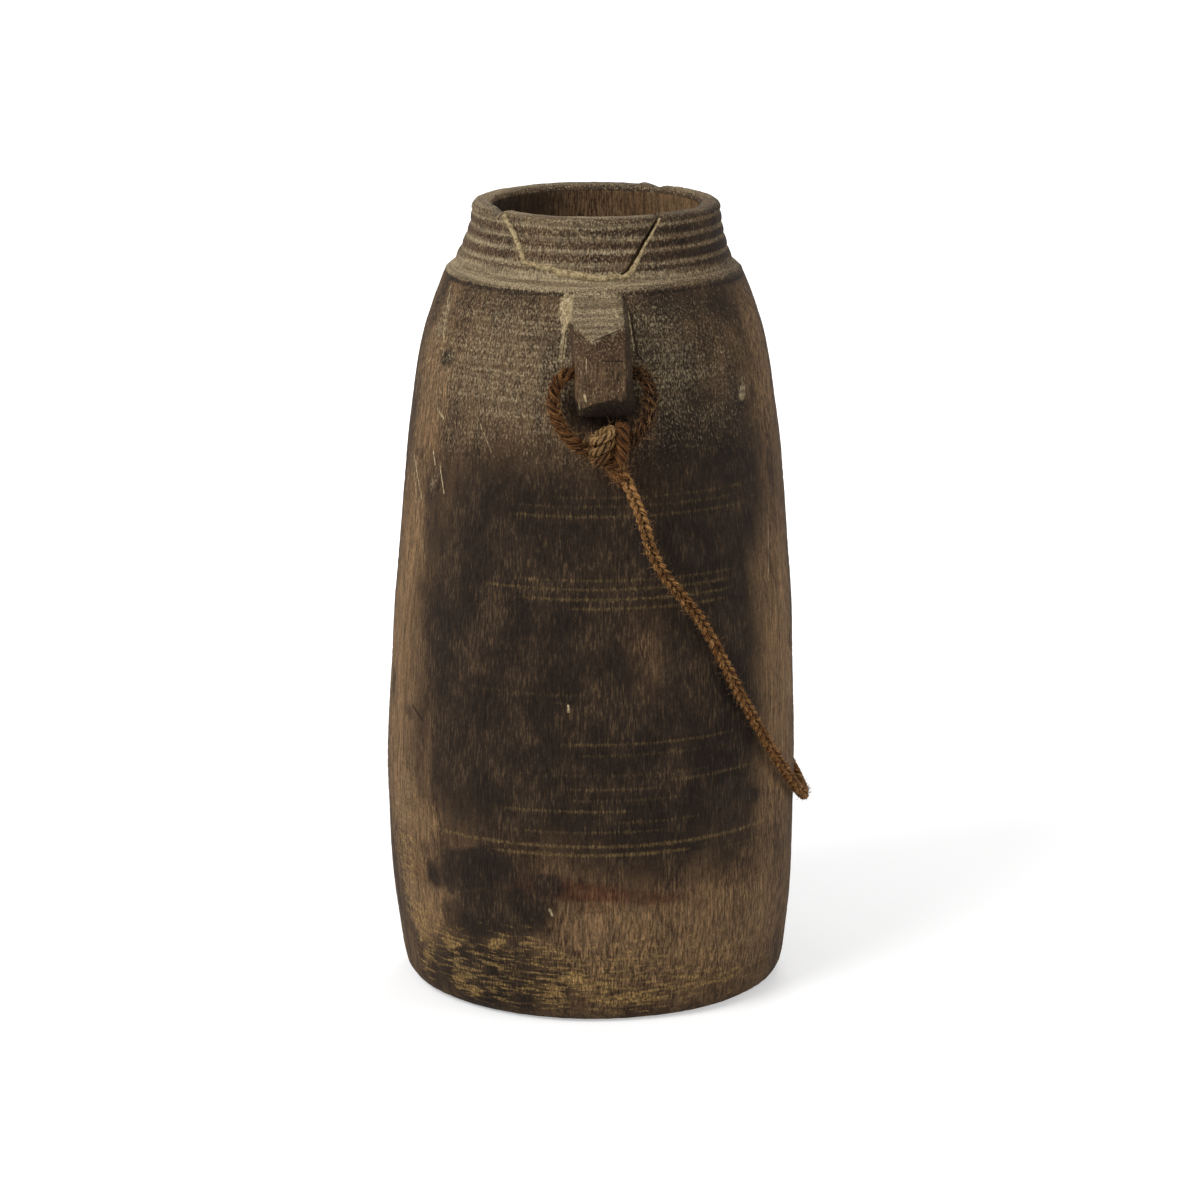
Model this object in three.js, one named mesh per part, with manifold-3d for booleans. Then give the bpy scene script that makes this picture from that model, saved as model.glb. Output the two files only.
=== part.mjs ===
// A turned wooden pot with two carved lugs, a mended break in its rim and a rope sling.
// Millimetres, +Z up. The origin is the middle of the flat base, on the floor.
// The front lug points to -Y, and the sling hangs on the +X side.
import * as THREE from "three";
import { mergeVertices } from "three/addons/utils/BufferGeometryUtils.js";
import Module from "manifold-3d";

const wasm = await Module();
wasm.setup();

// Body, turned from one block
const BODY_HEIGHT = 334; // floor to the foot of the neck
const BASE_RADIUS = 82.5; // the flat that the pot stands on
const FOOT_ROUND = 6; // rounding between the flat and the side
const BELLY_RADIUS = 95.3;
const BELLY_HEIGHT = 100;
const UPPER_RADIUS = 86.2;
const UPPER_DROP = 80; // below the foot of the neck, as are the next drops
const SHOULDER_RADIUS = 76.9;
const SHOULDER_DROP = 24;
const SHOULDER_TOP_RADIUS = 68;

// Neck, with its turned bands
const NECK_HEIGHT = 32;
const COVE_HEIGHT = 5.6; // the hollow where the neck meets the shoulder
const NECK_FOOT_RADIUS = 62;
const NECK_TOP_RADIUS = 57;
const BAND_COUNT = 4;
const BAND_DEPTH = 1.1;
const BAND_SHARES = [0, 0.3, 0.7]; // heights in one band of its groove and its crest
const RIM_ROUND = 4; // height of the rounded lip above the top band

// Inside
const BODY_WALL = 12;
const RIM_WALL = 9.5;
const FLOOR_THICKNESS = 22;
const FLOOR_FILLET = 16;
const NECK_INSIDE_FLARE = 1; // how much wider the neck is inside at its foot

// Lugs, carved from the same block
const LUG_TOP_WIDTH = 21.5;
const LUG_FOOT_WIDTH = 25.5;
const LUG_TOP_SHIFT = 2; // the lug leans: how far its top stands to the left of the middle
const LUG_FOOT_SHIFT = 0.6;
const LUG_REACH = 17.8; // nose beyond the body, level with the hole
const LUG_DROP = 51.5; // underside below the foot of the neck
const LUG_NOSE_TOP_DROP = 17; // top of the flat nose below the foot of the neck
const LUG_NOSE_FOOT = 8.3; // height of the cut-back facet under the nose
const LUG_NOSE_SETBACK = 6; // how far that facet leans back
const LUG_LEFT_CORNER = 5.6; // widths of the two cut corners of the nose
const LUG_RIGHT_CORNER = 3.5;
const LUG_CORNER_DEPTH = 3.6; // how far back both corners are cut
const LUG_BITE = 6; // how deep the lug's block runs into the wall
const LUG_UNDERCUT = 2; // rise of the underside towards the body
const HOLE_RADIUS = 4.5;
const HOLE_DROP = 33; // centre of the hole below the foot of the neck
const HOLE_WEB = 1.1; // wood left between the hole and the body

// Rim break, as angle from the front in degrees and drop below the rim
const CRACK_LINE = [
  [-50, 0],
  [-43.5, 7],
  [-38, 14.3],
  [-33.7, 20.8],
  [-24, 22.6],
  [-11, 25],
  [0, 26.8],
  [11, 24],
  [19, 13],
  [24, 6.7],
  [29, 0],
];
const FILLER_WIDTH = 1.3;
const GAP = 0.3; // between pieces that touch on the real pot

// Ropes
const LOOP_ROPE = 6.2; // diameter of the loops through the lugs
const SLING_ROPE = 6; // diameter of the sling
const KNOT_X = 1.5; // middle of each knot, and the line the sling turns on
const KNOT_OUT = 95;
const KNOT_Z = 268;
const KNOT_TURN = 13.7; // the knot stays inside this radius about that line
const SLING_ANGLE = -60; // how the sling leaves the knot, in degrees above level
const SLING_OUT = 101; // and how far out from the pot's axis

// Half of the front loop's route on each side, from its knot to the middle of the hole
const LOOP_LEFT = [
  [-5.5, -93.6, 267.6],
  [-9.5, -93.4, 268.4],
  [-14.6, -92.6, 271.8],
  [-19.8, -91.2, 278.2],
  [-22.7, -89.4, 286.4],
  [-22.2, -87.6, 294.2],
  [-18.6, -86, 299.6],
  [-13.6, -84.8, 301],
];
const LOOP_RIGHT = [
  [13.6, -84.8, 301],
  [17.6, -86, 299.2],
  [20, -87.8, 293],
  [19.8, -89.6, 286],
  [17.4, -91.4, 279.4],
  [13.6, -92.8, 273.8],
  [9.6, -93.4, 271],
  [6, -93.6, 269.6],
];

// Front half of the sling's route, from the front knot to the middle of the rope
const SLING_HALF = [
  [8.6, -101, 255.6],
  [11.8, -101.2, 248.6],
  [15.2, -101.4, 239.8],
  [18, -101.3, 230.6],
  [20.8, -100.4, 221.6],
  [26.2, -97.4, 211.8],
  [33.3, -93, 202],
  [41.6, -87.8, 190.6],
  [50.2, -82.9, 175.4],
  [58.3, -78, 158.4],
  [67.7, -70.8, 140],
  [76.9, -61.4, 122.8],
  [85.7, -48.8, 107],
  [92.4, -35.2, 95.4],
  [97.3, -18, 87.4],
];
const SLING_MIDDLE = [98.9, 0, 84.6];

// The knot's own form, each place as right, out from the pot and up from its middle
const KNOT_CORE = [7.6, 8, 10.8];
const KNOT_TURNS = [
  { middle: [-2.6, 0, 4.6], wide: 6.6, deep: 9.2, lean: 28 },
  { middle: [-2.8, 0, -0.6], wide: 6.9, deep: 9.6, lean: 28 },
  { middle: [-1.6, 0, -5.6], wide: 6.4, deep: 9, lean: 22 },
  { middle: [2.8, 0, -7.6], wide: 5.8, deep: 8.4, lean: 12 },
];
const KNOT_BIGHT = [
  [4.4, -6.4, -4],
  [4.8, -7, 3],
  [4.8, -5, 8.4],
  [4.8, 0, 10.6],
  [4.8, 5, 8.6],
  [5, 7.1, 3],
  [4.8, 6.8, -4],
  [4, 4, -9.4],
];

// Fineness of the faceted surfaces
const TURN_STEPS = 60;
const TURN_RING_STEPS = 18;
const LOOP_STEPS = 26;
const SLING_STEPS = 38;
const BIGHT_STEPS = 12;
const SOCKET_STEPS = 16;
const ROPE_SIDES = 10;
const HOLE_SIDES = 20;
const FOOT_STEPS = 3;
const LIP_STEPS = 6;
const FILLET_STEPS = 3;
const CORE_STEPS = [12, 8];
const BODY_POINTS = 15;
const WALL_POINTS = 9;

const RIM_Z = BODY_HEIGHT + NECK_HEIGHT;
const HOLE_Z = BODY_HEIGHT - HOLE_DROP;

// Radius of the side at any height, from a smooth curve through the named radii
const sideCurve = new THREE.SplineCurve([
  new THREE.Vector2(BASE_RADIUS + FOOT_ROUND, FOOT_ROUND),
  new THREE.Vector2(
    (BASE_RADIUS + FOOT_ROUND + BELLY_RADIUS) / 2,
    (FOOT_ROUND + BELLY_HEIGHT) / 3,
  ),
  new THREE.Vector2(BELLY_RADIUS, BELLY_HEIGHT),
  new THREE.Vector2(
    (2 * BELLY_RADIUS + UPPER_RADIUS) / 3,
    (BELLY_HEIGHT + BODY_HEIGHT - UPPER_DROP) / 2,
  ),
  new THREE.Vector2(UPPER_RADIUS, BODY_HEIGHT - UPPER_DROP),
  new THREE.Vector2(SHOULDER_RADIUS, BODY_HEIGHT - SHOULDER_DROP),
  new THREE.Vector2(SHOULDER_TOP_RADIUS, BODY_HEIGHT),
]);
const sidePoints = sideCurve.getSpacedPoints(BODY_POINTS);

function sideRadius(z) {
  const next = sidePoints.findIndex((p) => p.y >= z);
  if (next < 1) return sidePoints.at(next).x;
  const [low, high] = [sidePoints[next - 1], sidePoints[next]];
  return low.x + ((high.x - low.x) * (z - low.y)) / (high.y - low.y);
}

// A closed geometry as a solid that can be joined and cut
function solidOf(geometry) {
  const bare = geometry.index ? geometry.toNonIndexed() : geometry.clone();
  bare.deleteAttribute("normal");
  bare.deleteAttribute("uv");
  const merged = mergeVertices(bare, 1e-4);
  return new wasm.Manifold(
    new wasm.Mesh({
      numProp: 3,
      vertProperties: merged.attributes.position.array,
      triVerts: new Uint32Array(merged.index.array),
    }),
  );
}

function geometryOf(solid) {
  const mesh = solid.getMesh();
  const geometry = new THREE.BufferGeometry();
  const positions = new THREE.BufferAttribute(mesh.vertProperties, 3);
  geometry.setAttribute("position", positions);
  geometry.setIndex(new THREE.BufferAttribute(mesh.triVerts, 1));
  return geometry;
}

// The largest of the bodies that a cut leaves, without its slivers
function largestBody(solid) {
  const bodies = solid.decompose();
  return bodies.reduce((a, b) => (b.volume() > a.volume() ? b : a));
}

// An outline in the plane of two axes, swept along the third from one place to another
function slab(outline, from, to, toWorld) {
  const shape = new THREE.Shape(outline.map(([a, b]) => new THREE.Vector2(a, b)));
  const geometry = new THREE.ExtrudeGeometry(shape, { depth: to - from, bevelEnabled: false });
  geometry.translate(0, 0, from);
  geometry.applyMatrix4(toWorld);
  return solidOf(geometry);
}

// Columns say where the outline's two axes and the sweep go in the world
function axes(first, second, sweep) {
  return new THREE.Matrix4().makeBasis(
    new THREE.Vector3(...first),
    new THREE.Vector3(...second),
    new THREE.Vector3(...sweep),
  );
}

// Half outline of the vessel, turned about Z: base, side, cove, bands, lip and inside.
// A band starts at its groove and swells over the rest of its height.
function vesselProfile() {
  const points = [new THREE.Vector2(0, 0), new THREE.Vector2(BASE_RADIUS, 0)];
  for (let i = 1; i < FOOT_STEPS; i++) {
    const a = (i / FOOT_STEPS) * (Math.PI / 2);
    const out = BASE_RADIUS + FOOT_ROUND * Math.sin(a);
    points.push(new THREE.Vector2(out, FOOT_ROUND * (1 - Math.cos(a))));
  }
  points.push(...sidePoints);

  const coveTop = BODY_HEIGHT + COVE_HEIGHT;
  const coveMiddle = new THREE.Vector2(
    (2 * NECK_FOOT_RADIUS + SHOULDER_TOP_RADIUS) / 3,
    BODY_HEIGHT + COVE_HEIGHT / 2,
  );
  points.push(coveMiddle);

  const bandsTop = RIM_Z - RIM_ROUND;
  const bandHeight = (bandsTop - coveTop) / BAND_COUNT;
  for (let band = 0; band < BAND_COUNT; band++) {
    for (const share of BAND_SHARES) {
      const z = coveTop + (band + share) * bandHeight;
      const slope = (z - coveTop) / (RIM_Z - coveTop);
      const swell = share ? BAND_DEPTH : 0;
      const plain = NECK_FOOT_RADIUS + slope * (NECK_TOP_RADIUS - NECK_FOOT_RADIUS);
      points.push(new THREE.Vector2(plain - BAND_DEPTH + swell, z));
    }
  }

  const lipMiddle = NECK_TOP_RADIUS - RIM_WALL / 2;
  for (let i = 0; i <= LIP_STEPS; i++) {
    const a = (i / LIP_STEPS) * Math.PI;
    const out = lipMiddle + (RIM_WALL / 2) * Math.cos(a);
    points.push(new THREE.Vector2(out, bandsTop + RIM_ROUND * Math.sin(a)));
  }

  const insideTop = BODY_HEIGHT - SHOULDER_DROP / 2;
  const insideFoot = FLOOR_THICKNESS + FLOOR_FILLET;
  points.push(new THREE.Vector2(NECK_TOP_RADIUS - RIM_WALL + NECK_INSIDE_FLARE, coveTop));
  for (let i = 0; i < WALL_POINTS; i++) {
    const z = insideTop + ((insideFoot - insideTop) * i) / (WALL_POINTS - 1);
    points.push(new THREE.Vector2(sideRadius(z) - BODY_WALL, z));
  }
  const floorRadius = sideRadius(insideFoot) - BODY_WALL - FLOOR_FILLET;
  for (let i = 1; i <= FILLET_STEPS; i++) {
    const a = (i / FILLET_STEPS) * (Math.PI / 2);
    const out = floorRadius + FLOOR_FILLET * Math.cos(a);
    points.push(new THREE.Vector2(out, insideFoot - FLOOR_FILLET * Math.sin(a)));
  }
  points.push(new THREE.Vector2(0, FLOOR_THICKNESS));
  return points;
}

// One lug at the front: a side view, a front view and a plan that cut each other
function lug() {
  const top = BODY_HEIGHT;
  const foot = BODY_HEIGHT - LUG_DROP;
  const nose = sideRadius(HOLE_Z) + LUG_REACH;
  const noseTop = BODY_HEIGHT - LUG_NOSE_TOP_DROP;
  const sideView = [
    [sideRadius(top) - LUG_BITE, top],
    [nose, noseTop],
    [nose, foot + LUG_NOSE_FOOT],
    [nose - LUG_NOSE_SETBACK, foot],
    [sideRadius(foot) - LUG_BITE, foot + LUG_UNDERCUT],
  ];
  const left = -LUG_FOOT_WIDTH / 2 - LUG_FOOT_SHIFT;
  const right = LUG_FOOT_WIDTH / 2 - LUG_FOOT_SHIFT;
  const frontView = [
    [left, foot],
    [right, foot],
    [LUG_TOP_WIDTH / 2 - LUG_TOP_SHIFT, top],
    [-LUG_TOP_WIDTH / 2 - LUG_TOP_SHIFT, top],
  ];
  const plan = [
    [left, 0],
    [right, 0],
    [right, nose - LUG_CORNER_DEPTH],
    [right - LUG_RIGHT_CORNER, nose],
    [left + LUG_LEFT_CORNER, nose],
    [left, nose - LUG_CORNER_DEPTH],
  ];
  const fromSide = slab(sideView, -right, -left, axes([0, -1, 0], [0, 0, 1], [-1, 0, 0]));
  const fromFront = slab(frontView, 0, nose, axes([1, 0, 0], [0, 0, 1], [0, -1, 0]));
  const fromAbove = slab(plan, -top, -foot, axes([1, 0, 0], [0, -1, 0], [0, 0, -1]));
  return fromSide.intersect(fromFront).intersect(fromAbove);
}

function lugHole() {
  const out = sideRadius(HOLE_Z) + HOLE_WEB + HOLE_RADIUS;
  const length = 2 * LUG_FOOT_WIDTH;
  const bore = new THREE.CylinderGeometry(HOLE_RADIUS, HOLE_RADIUS, length, HOLE_SIDES);
  bore.rotateZ(Math.PI / 2);
  bore.translate(0, -out, HOLE_Z);
  return solidOf(bore);
}

// Everything inside the break's line once it is drawn in by some millimetres,
// as a block that runs out from the pot's axis through the wall
function breakBlock(drawnIn) {
  const neck = (NECK_FOOT_RADIUS + NECK_TOP_RADIUS) / 2;
  const flat = CRACK_LINE.map(
    ([angle, drop]) =>
      new THREE.Vector2(THREE.MathUtils.degToRad(angle) * neck, RIM_Z - drop),
  );
  const above = RIM_ROUND * 2;
  const first = flat[0].clone().add(new THREE.Vector2(-above / 2, above));
  const last = flat.at(-1).clone().add(new THREE.Vector2(above / 2, above));
  const line = [first, ...flat, last];
  const inwards = line.slice(1).map((p, i) => {
    const run = p.clone().sub(line[i]).normalize();
    return new THREE.Vector2(-run.y, run.x);
  });
  const outline = line.map((p, i) => {
    const before = inwards[Math.max(i - 1, 0)];
    const after = inwards[Math.min(i, inwards.length - 1)];
    const middle = before.clone().add(after);
    return p.clone().addScaledVector(middle, drawnIn / (1 + before.dot(after)));
  });
  const rings = [NECK_TOP_RADIUS / 3, NECK_FOOT_RADIUS * 2];
  const positions = rings.flatMap((radius) =>
    outline.flatMap((p) => {
      const angle = p.x / neck;
      return [radius * Math.sin(angle), -radius * Math.cos(angle), p.y];
    }),
  );
  const n = outline.length;
  const faces = [];
  for (const [a, b, c] of THREE.ShapeUtils.triangulateShape(outline, [])) {
    faces.push(a, c, b);
    faces.push(a + n, b + n, c + n);
  }
  for (let i = 0; i < n; i++) {
    const j = (i + 1) % n;
    faces.push(i, j, j + n);
    faces.push(i, j + n, i + n);
  }
  const geometry = new THREE.BufferGeometry();
  geometry.setAttribute("position", new THREE.Float32BufferAttribute(positions, 3));
  geometry.setIndex(faces);
  return solidOf(geometry);
}

// A rope as a plain round bar along a smooth line through its points
function rope(points, diameter, steps) {
  const section = new THREE.Shape();
  for (let i = 0; i < ROPE_SIDES; i++) {
    const a = (i / ROPE_SIDES) * 2 * Math.PI;
    const [x, y] = [(diameter / 2) * Math.cos(a), (diameter / 2) * Math.sin(a)];
    if (i) section.lineTo(x, y);
    else section.moveTo(x, y);
  }
  const line = new THREE.CatmullRomCurve3(
    points.map((p) => new THREE.Vector3(...p)),
    false,
    "centripetal",
  );
  return new THREE.ExtrudeGeometry(section, { steps, extrudePath: line });
}

// A place in the knot: right, out from the pot and up, from the knot's middle
function inKnot(right, out, up) {
  return [KNOT_X + right, -KNOT_OUT - out, KNOT_Z + up];
}

// One turn of rope about the knot's core, as a leaning oval ring
function knotTurn({ middle, wide, deep, lean }) {
  const thick = LOOP_ROPE / 2;
  const section = [];
  for (let i = 0; i <= ROPE_SIDES; i++) {
    const a = (i / ROPE_SIDES) * 2 * Math.PI;
    section.push(new THREE.Vector2(1 + 0.5 * Math.cos(a), 0.5 * Math.sin(a)));
  }
  const ring = new THREE.LatheGeometry(section, TURN_RING_STEPS);
  const places = ring.attributes.position;
  for (let i = 0; i < places.count; i++) {
    const at = new THREE.Vector3().fromBufferAttribute(places, i);
    const around = Math.atan2(at.z, at.x);
    const off = (Math.hypot(at.x, at.z) - 1) * 2 * thick;
    const right = (wide - thick + off) * Math.cos(around);
    const out = (deep - thick + off) * Math.sin(around);
    places.setXYZ(i, right, at.y * 2 * thick, out);
  }
  ring.rotateX(Math.PI / 2);
  ring.rotateY(THREE.MathUtils.degToRad(-lean));
  ring.translate(...inKnot(...middle));
  return solidOf(ring);
}

// The knot under the lug: leaning turns, an upright bight, a low collar and a core
function knot() {
  const core = new THREE.SphereGeometry(1, ...CORE_STEPS);
  core.scale(...KNOT_CORE);
  core.translate(...inKnot(0, 0, 0));
  const away = THREE.MathUtils.degToRad(SLING_ANGLE);
  const end = [
    KNOT_X + KNOT_TURN * Math.cos(away),
    -SLING_OUT,
    KNOT_Z + KNOT_TURN * Math.sin(away),
  ];
  const tail = rope([[KNOT_X, -SLING_OUT, KNOT_Z], end], SLING_ROPE, 1);
  const bight = rope(
    KNOT_BIGHT.map((place) => inKnot(...place)),
    LOOP_ROPE,
    BIGHT_STEPS,
  );
  let joined = solidOf(core).add(solidOf(tail)).add(solidOf(bight));
  for (const turn of KNOT_TURNS) joined = joined.add(knotTurn(turn));
  const socket = LOOP_ROPE + 3 * GAP;
  for (const side of [LOOP_LEFT, [...LOOP_RIGHT].reverse()]) {
    const [last, before] = side.map((p) => new THREE.Vector3(...p));
    const past = last.clone().sub(before).setLength(1.5 * GAP).add(last);
    joined = joined.subtract(solidOf(rope([past.toArray(), ...side], socket, SOCKET_STEPS)));
  }
  return geometryOf(largestBody(joined));
}

function mesh(name, geometry, color, roughness) {
  const material = new THREE.MeshStandardMaterial({ color, roughness, metalness: 0 });
  const made = new THREE.Mesh(geometry, material);
  made.name = name;
  return made;
}

const vessel = solidOf(new THREE.LatheGeometry(vesselProfile(), TURN_STEPS).rotateX(Math.PI / 2));
const frontLug = lug();
const frontHole = lugHole();
const lugs = frontLug.add(frontLug.rotate([0, 0, 180]));
const holes = frontHole.add(frontHole.rotate([0, 0, 180]));
const block = vessel.add(lugs).subtract(holes);

// From the pot's edge of the break inwards: gap, filler, gap, refitted piece
const crackWidth = FILLER_WIDTH + 2 * GAP;
const broken = breakBlock(-crackWidth / 2);
const fillerOutside = breakBlock(GAP - crackWidth / 2);
const fillerInside = breakBlock(crackWidth / 2 - GAP);
const refitted = breakBlock(crackWidth / 2);

const pot = new THREE.Group();
pot.add(mesh("pot_body", geometryOf(block.subtract(broken)), "#4a3a2c", 0.85));
pot.add(mesh("rim_sherd", geometryOf(vessel.intersect(refitted)), "#5a4835", 0.85));
const filler = vessel.intersect(fillerOutside.subtract(fillerInside));
pot.add(mesh("crack_filler", geometryOf(filler), "#a08a63", 0.95));

// The rear loop and knot are the front ones, mirrored
const loopGeometry = rope([...LOOP_LEFT, ...LOOP_RIGHT], LOOP_ROPE, LOOP_STEPS);
const knotGeometry = knot();
for (const [side, mirrored] of [["front", 1], ["rear", -1]]) {
  const hitch = new THREE.Group();
  hitch.add(mesh(side + "_loop", loopGeometry, "#6b4426", 0.95));
  hitch.add(mesh(side + "_knot", knotGeometry, "#7a5230", 0.95));
  hitch.scale.y = mirrored;
  pot.add(hitch);
}

const slingRear = SLING_HALF.map(([x, y, z]) => [x, -y, z]).reverse();
const slingLine = [...SLING_HALF, SLING_MIDDLE, ...slingRear];
pot.add(mesh("rope_sling", rope(slingLine, SLING_ROPE, SLING_STEPS), "#754a2a", 0.95));

export default pot;
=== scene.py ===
# %% [markdown]
# A turned wooden pot with a rope sling
#
# The pot is an old household vessel, turned and hollowed from one block of hardwood.
# It has a banded neck, a lug carved on the front and one on the back, a broken and
# mended piece of rim, and a rope through each lug that carries a plaited sling.
# The frame gives the sizes and what moves. This lesson gives the pot its real surface.

import math
import random

import bmesh
import bpy
from mathutils import Matrix, Vector, noise


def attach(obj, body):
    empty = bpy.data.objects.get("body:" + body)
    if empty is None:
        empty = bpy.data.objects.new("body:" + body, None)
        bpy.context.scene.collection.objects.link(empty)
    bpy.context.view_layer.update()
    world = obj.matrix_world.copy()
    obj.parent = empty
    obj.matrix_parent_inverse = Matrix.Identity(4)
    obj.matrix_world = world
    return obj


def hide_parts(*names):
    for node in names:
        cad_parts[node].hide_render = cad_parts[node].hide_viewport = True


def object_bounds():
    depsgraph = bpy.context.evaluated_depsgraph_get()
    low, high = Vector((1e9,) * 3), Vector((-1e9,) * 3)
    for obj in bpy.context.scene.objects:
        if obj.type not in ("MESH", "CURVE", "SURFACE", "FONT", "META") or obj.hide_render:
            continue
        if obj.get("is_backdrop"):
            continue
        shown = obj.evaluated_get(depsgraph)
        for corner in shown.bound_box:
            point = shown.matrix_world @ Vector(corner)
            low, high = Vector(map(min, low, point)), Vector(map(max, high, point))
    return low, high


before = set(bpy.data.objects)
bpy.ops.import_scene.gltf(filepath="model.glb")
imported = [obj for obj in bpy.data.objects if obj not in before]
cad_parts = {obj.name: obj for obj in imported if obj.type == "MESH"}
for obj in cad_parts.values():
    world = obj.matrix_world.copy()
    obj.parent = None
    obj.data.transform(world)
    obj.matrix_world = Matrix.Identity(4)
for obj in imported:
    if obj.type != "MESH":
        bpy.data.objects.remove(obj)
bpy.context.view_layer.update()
MM = 0.001

# %% [markdown]
# The camera comes first, because every later choice is judged through it.
# The photograph was taken from about two metres away with a long lens, a little above
# the rim, and slightly to the left of the lug. The pot stands a few pixels left of the
# middle, so the camera aims a little to the right of the pot's own axis.

# %% Camera
CAMERA_TURN = math.radians(-3.2)  # from straight in front, to the left
CAMERA_AWAY = 2.0276
CAMERA_HEIGHT = 0.6672
AIM_HEIGHT = 0.1776
AIM_RIGHT = 0.0028

to_right = Vector((math.cos(CAMERA_TURN), math.sin(CAMERA_TURN), 0))
aim = Vector((0, 0, AIM_HEIGHT)) + AIM_RIGHT * to_right
camera = bpy.data.objects.new("camera", bpy.data.cameras.new("camera"))
bpy.context.scene.collection.objects.link(camera)
camera.location = (
    CAMERA_AWAY * math.sin(CAMERA_TURN),
    -CAMERA_AWAY * math.cos(CAMERA_TURN),
    CAMERA_HEIGHT,
)
camera.rotation_euler = (aim - camera.location).to_track_quat("-Z", "Y").to_euler()
camera.data.sensor_width = 36
camera.data.lens = 134.3
bpy.context.scene.camera = camera
print("camera", round((aim - camera.location).length, 3), "m from its aim")

# %% [markdown]
# The ropes come next. Each is a fixed length of something flexible, so it is drawn as a
# route that hangs and lies as the real one does: the loop goes through the lug's hole
# and down to its knot, and the sling leaves the knot, hangs free, and then lies round
# the belly to the knot at the back. The back is not seen and mirrors the front.

# %% Routes of the ropes, in millimetres
LOOP_ROUTE = [
    (-5.5, -93.6, 267.6), (-9.5, -93.4, 268.4), (-14.6, -92.6, 271.8), (-19.8, -91.2, 278.2),
    (-22.7, -89.4, 286.4), (-22.2, -87.6, 294.2), (-18.6, -86, 299.6), (-13.6, -84.8, 301),
    (13.6, -84.8, 301), (17.6, -86, 299.2), (20, -87.8, 293), (19.8, -89.6, 286),
    (17.4, -91.4, 279.4), (13.6, -92.8, 273.8), (9.6, -93.4, 271), (6, -93.6, 269.6),
]
SLING_HALF = [
    (8.6, -101, 255.6), (11.8, -101.2, 248.6), (15.2, -101.4, 239.8), (18, -101.3, 230.6),
    (20.8, -100.4, 221.6), (26.2, -97.4, 211.8), (33.3, -93, 202), (41.6, -87.8, 190.6),
    (50.2, -82.9, 175.4), (58.3, -78, 158.4), (67.7, -70.8, 140), (76.9, -61.4, 122.8),
    (85.7, -48.8, 107), (92.4, -35.2, 95.4), (97.3, -18, 87.4),
]
SLING_ROUTE = [*SLING_HALF, (98.9, 0, 84.6), *((x, -y, z) for x, y, z in reversed(SLING_HALF))]
# inside each knot the sling goes on to the middle, about which it swings
SLING_TAIL = [(1.9, -96.6, 267), (3.1, -98.4, 263), (5.6, -99.8, 259), (8.6, -101, 255.6)]
# the finished ropes in mm, and the middle of the front knot
LOOP_ROPE = 6.2
SLING_ROPE = 6
KNOT_MIDDLE = (1.5, -95, 268)
print("chosen points:", len(LOOP_ROUTE), "on a loop,", len(SLING_ROUTE), "on the sling")

# %% [markdown]
# A rope never kinks by itself, so its line runs smoothly through the chosen points.
# The line's own points are evenly spaced, so that strands can wind round it evenly.

# %% Smooth lines
ROUTE_STEP = 0.8  # mm between a line's points
KNOT_STEP = 0.6  # and in the knots, where it bends more
CURVE_STEPS = 24  # points on the curve between two chosen ones


def smooth_route(points, step):
    """Points in metres, a step in mm apart, on a smooth curve through points in mm."""
    places = [Vector(p) * MM for p in points]
    places = [2 * places[0] - places[1], *places, 2 * places[-1] - places[-2]]
    dense = []
    for a, b, c, d in zip(places, places[1:], places[2:], places[3:]):
        k1 = (b - a).length ** 0.5
        k2 = k1 + (c - b).length ** 0.5
        k3 = k2 + (d - c).length ** 0.5
        for i in range(CURVE_STEPS):
            t = k1 + (k2 - k1) * i / CURVE_STEPS
            ab = a.lerp(b, t / k1)
            bc = b.lerp(c, (t - k1) / (k2 - k1))
            cd = c.lerp(d, (t - k2) / (k3 - k2))
            abc = ab.lerp(bc, t / k2)
            bcd = bc.lerp(cd, (t - k1) / (k3 - k1))
            dense.append(abc.lerp(bcd, (t - k1) / (k2 - k1)))
    dense.append(places[-2])
    return even_steps(dense, step)


def even_steps(dense, step):
    """The same line with its points evenly spaced, a step in mm apart."""
    lengths = [(b - a).length for a, b in zip(dense, dense[1:])]
    count = max(2, round(sum(lengths) / (step * MM)))
    spacing = sum(lengths) / count
    even, walked, target = [dense[0]], 0, spacing
    for a, b, length in zip(dense, dense[1:], lengths):
        while walked + length >= target - 1e-9 and len(even) < count:
            even.append(a.lerp(b, (target - walked) / length))
            target += spacing
        walked += length
    even.append(dense[-1])
    return even


def route_length(line):
    """How long a line is, in mm."""
    return sum((b - a).length for a, b in zip(line, line[1:])) / MM


def mirrored(line):
    """The same line on the other side of the pot, front to back."""
    return [Vector((p.x, -p.y, p.z)) for p in line]


front_loop_line = smooth_route(LOOP_ROUTE, ROUTE_STEP)
rear_loop_line = mirrored(front_loop_line)
sling_line = smooth_route(SLING_ROUTE, ROUTE_STEP)
print("loop", round(route_length(front_loop_line), 1), "mm")
print("sling", round(route_length(sling_line), 1), "mm")

# %% [markdown]
# A rope is strands laid round each other. A strand is a strip of grid rolled into a
# tube along its own winding line, which also gives it a map: metres along the strand
# and metres round it, so that the fibres can later run the way the real ones do.

# %% A tube rolled along a line
MAP_RADIUS = 1.3  # of a usual strand in mm, for the width of its map
SHADE_REACH = 14  # mm right of the middle over which a loop gets painted shade
SUNK_FROM = 0.95  # of the rope's radius: further in, a strand gets painted shade,
SUNK_FULL = 0.59  # and from here on the painted shade is as dark as it gets
SLANT = Vector((0.31, 0.17, 0.94))  # a way that no rope runs along


def ramp(value, low, high):
    """0 up to low and 1 from high on, with an even rise between them."""
    return min(1, max(0, (value - low) / (high - low)))


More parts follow.
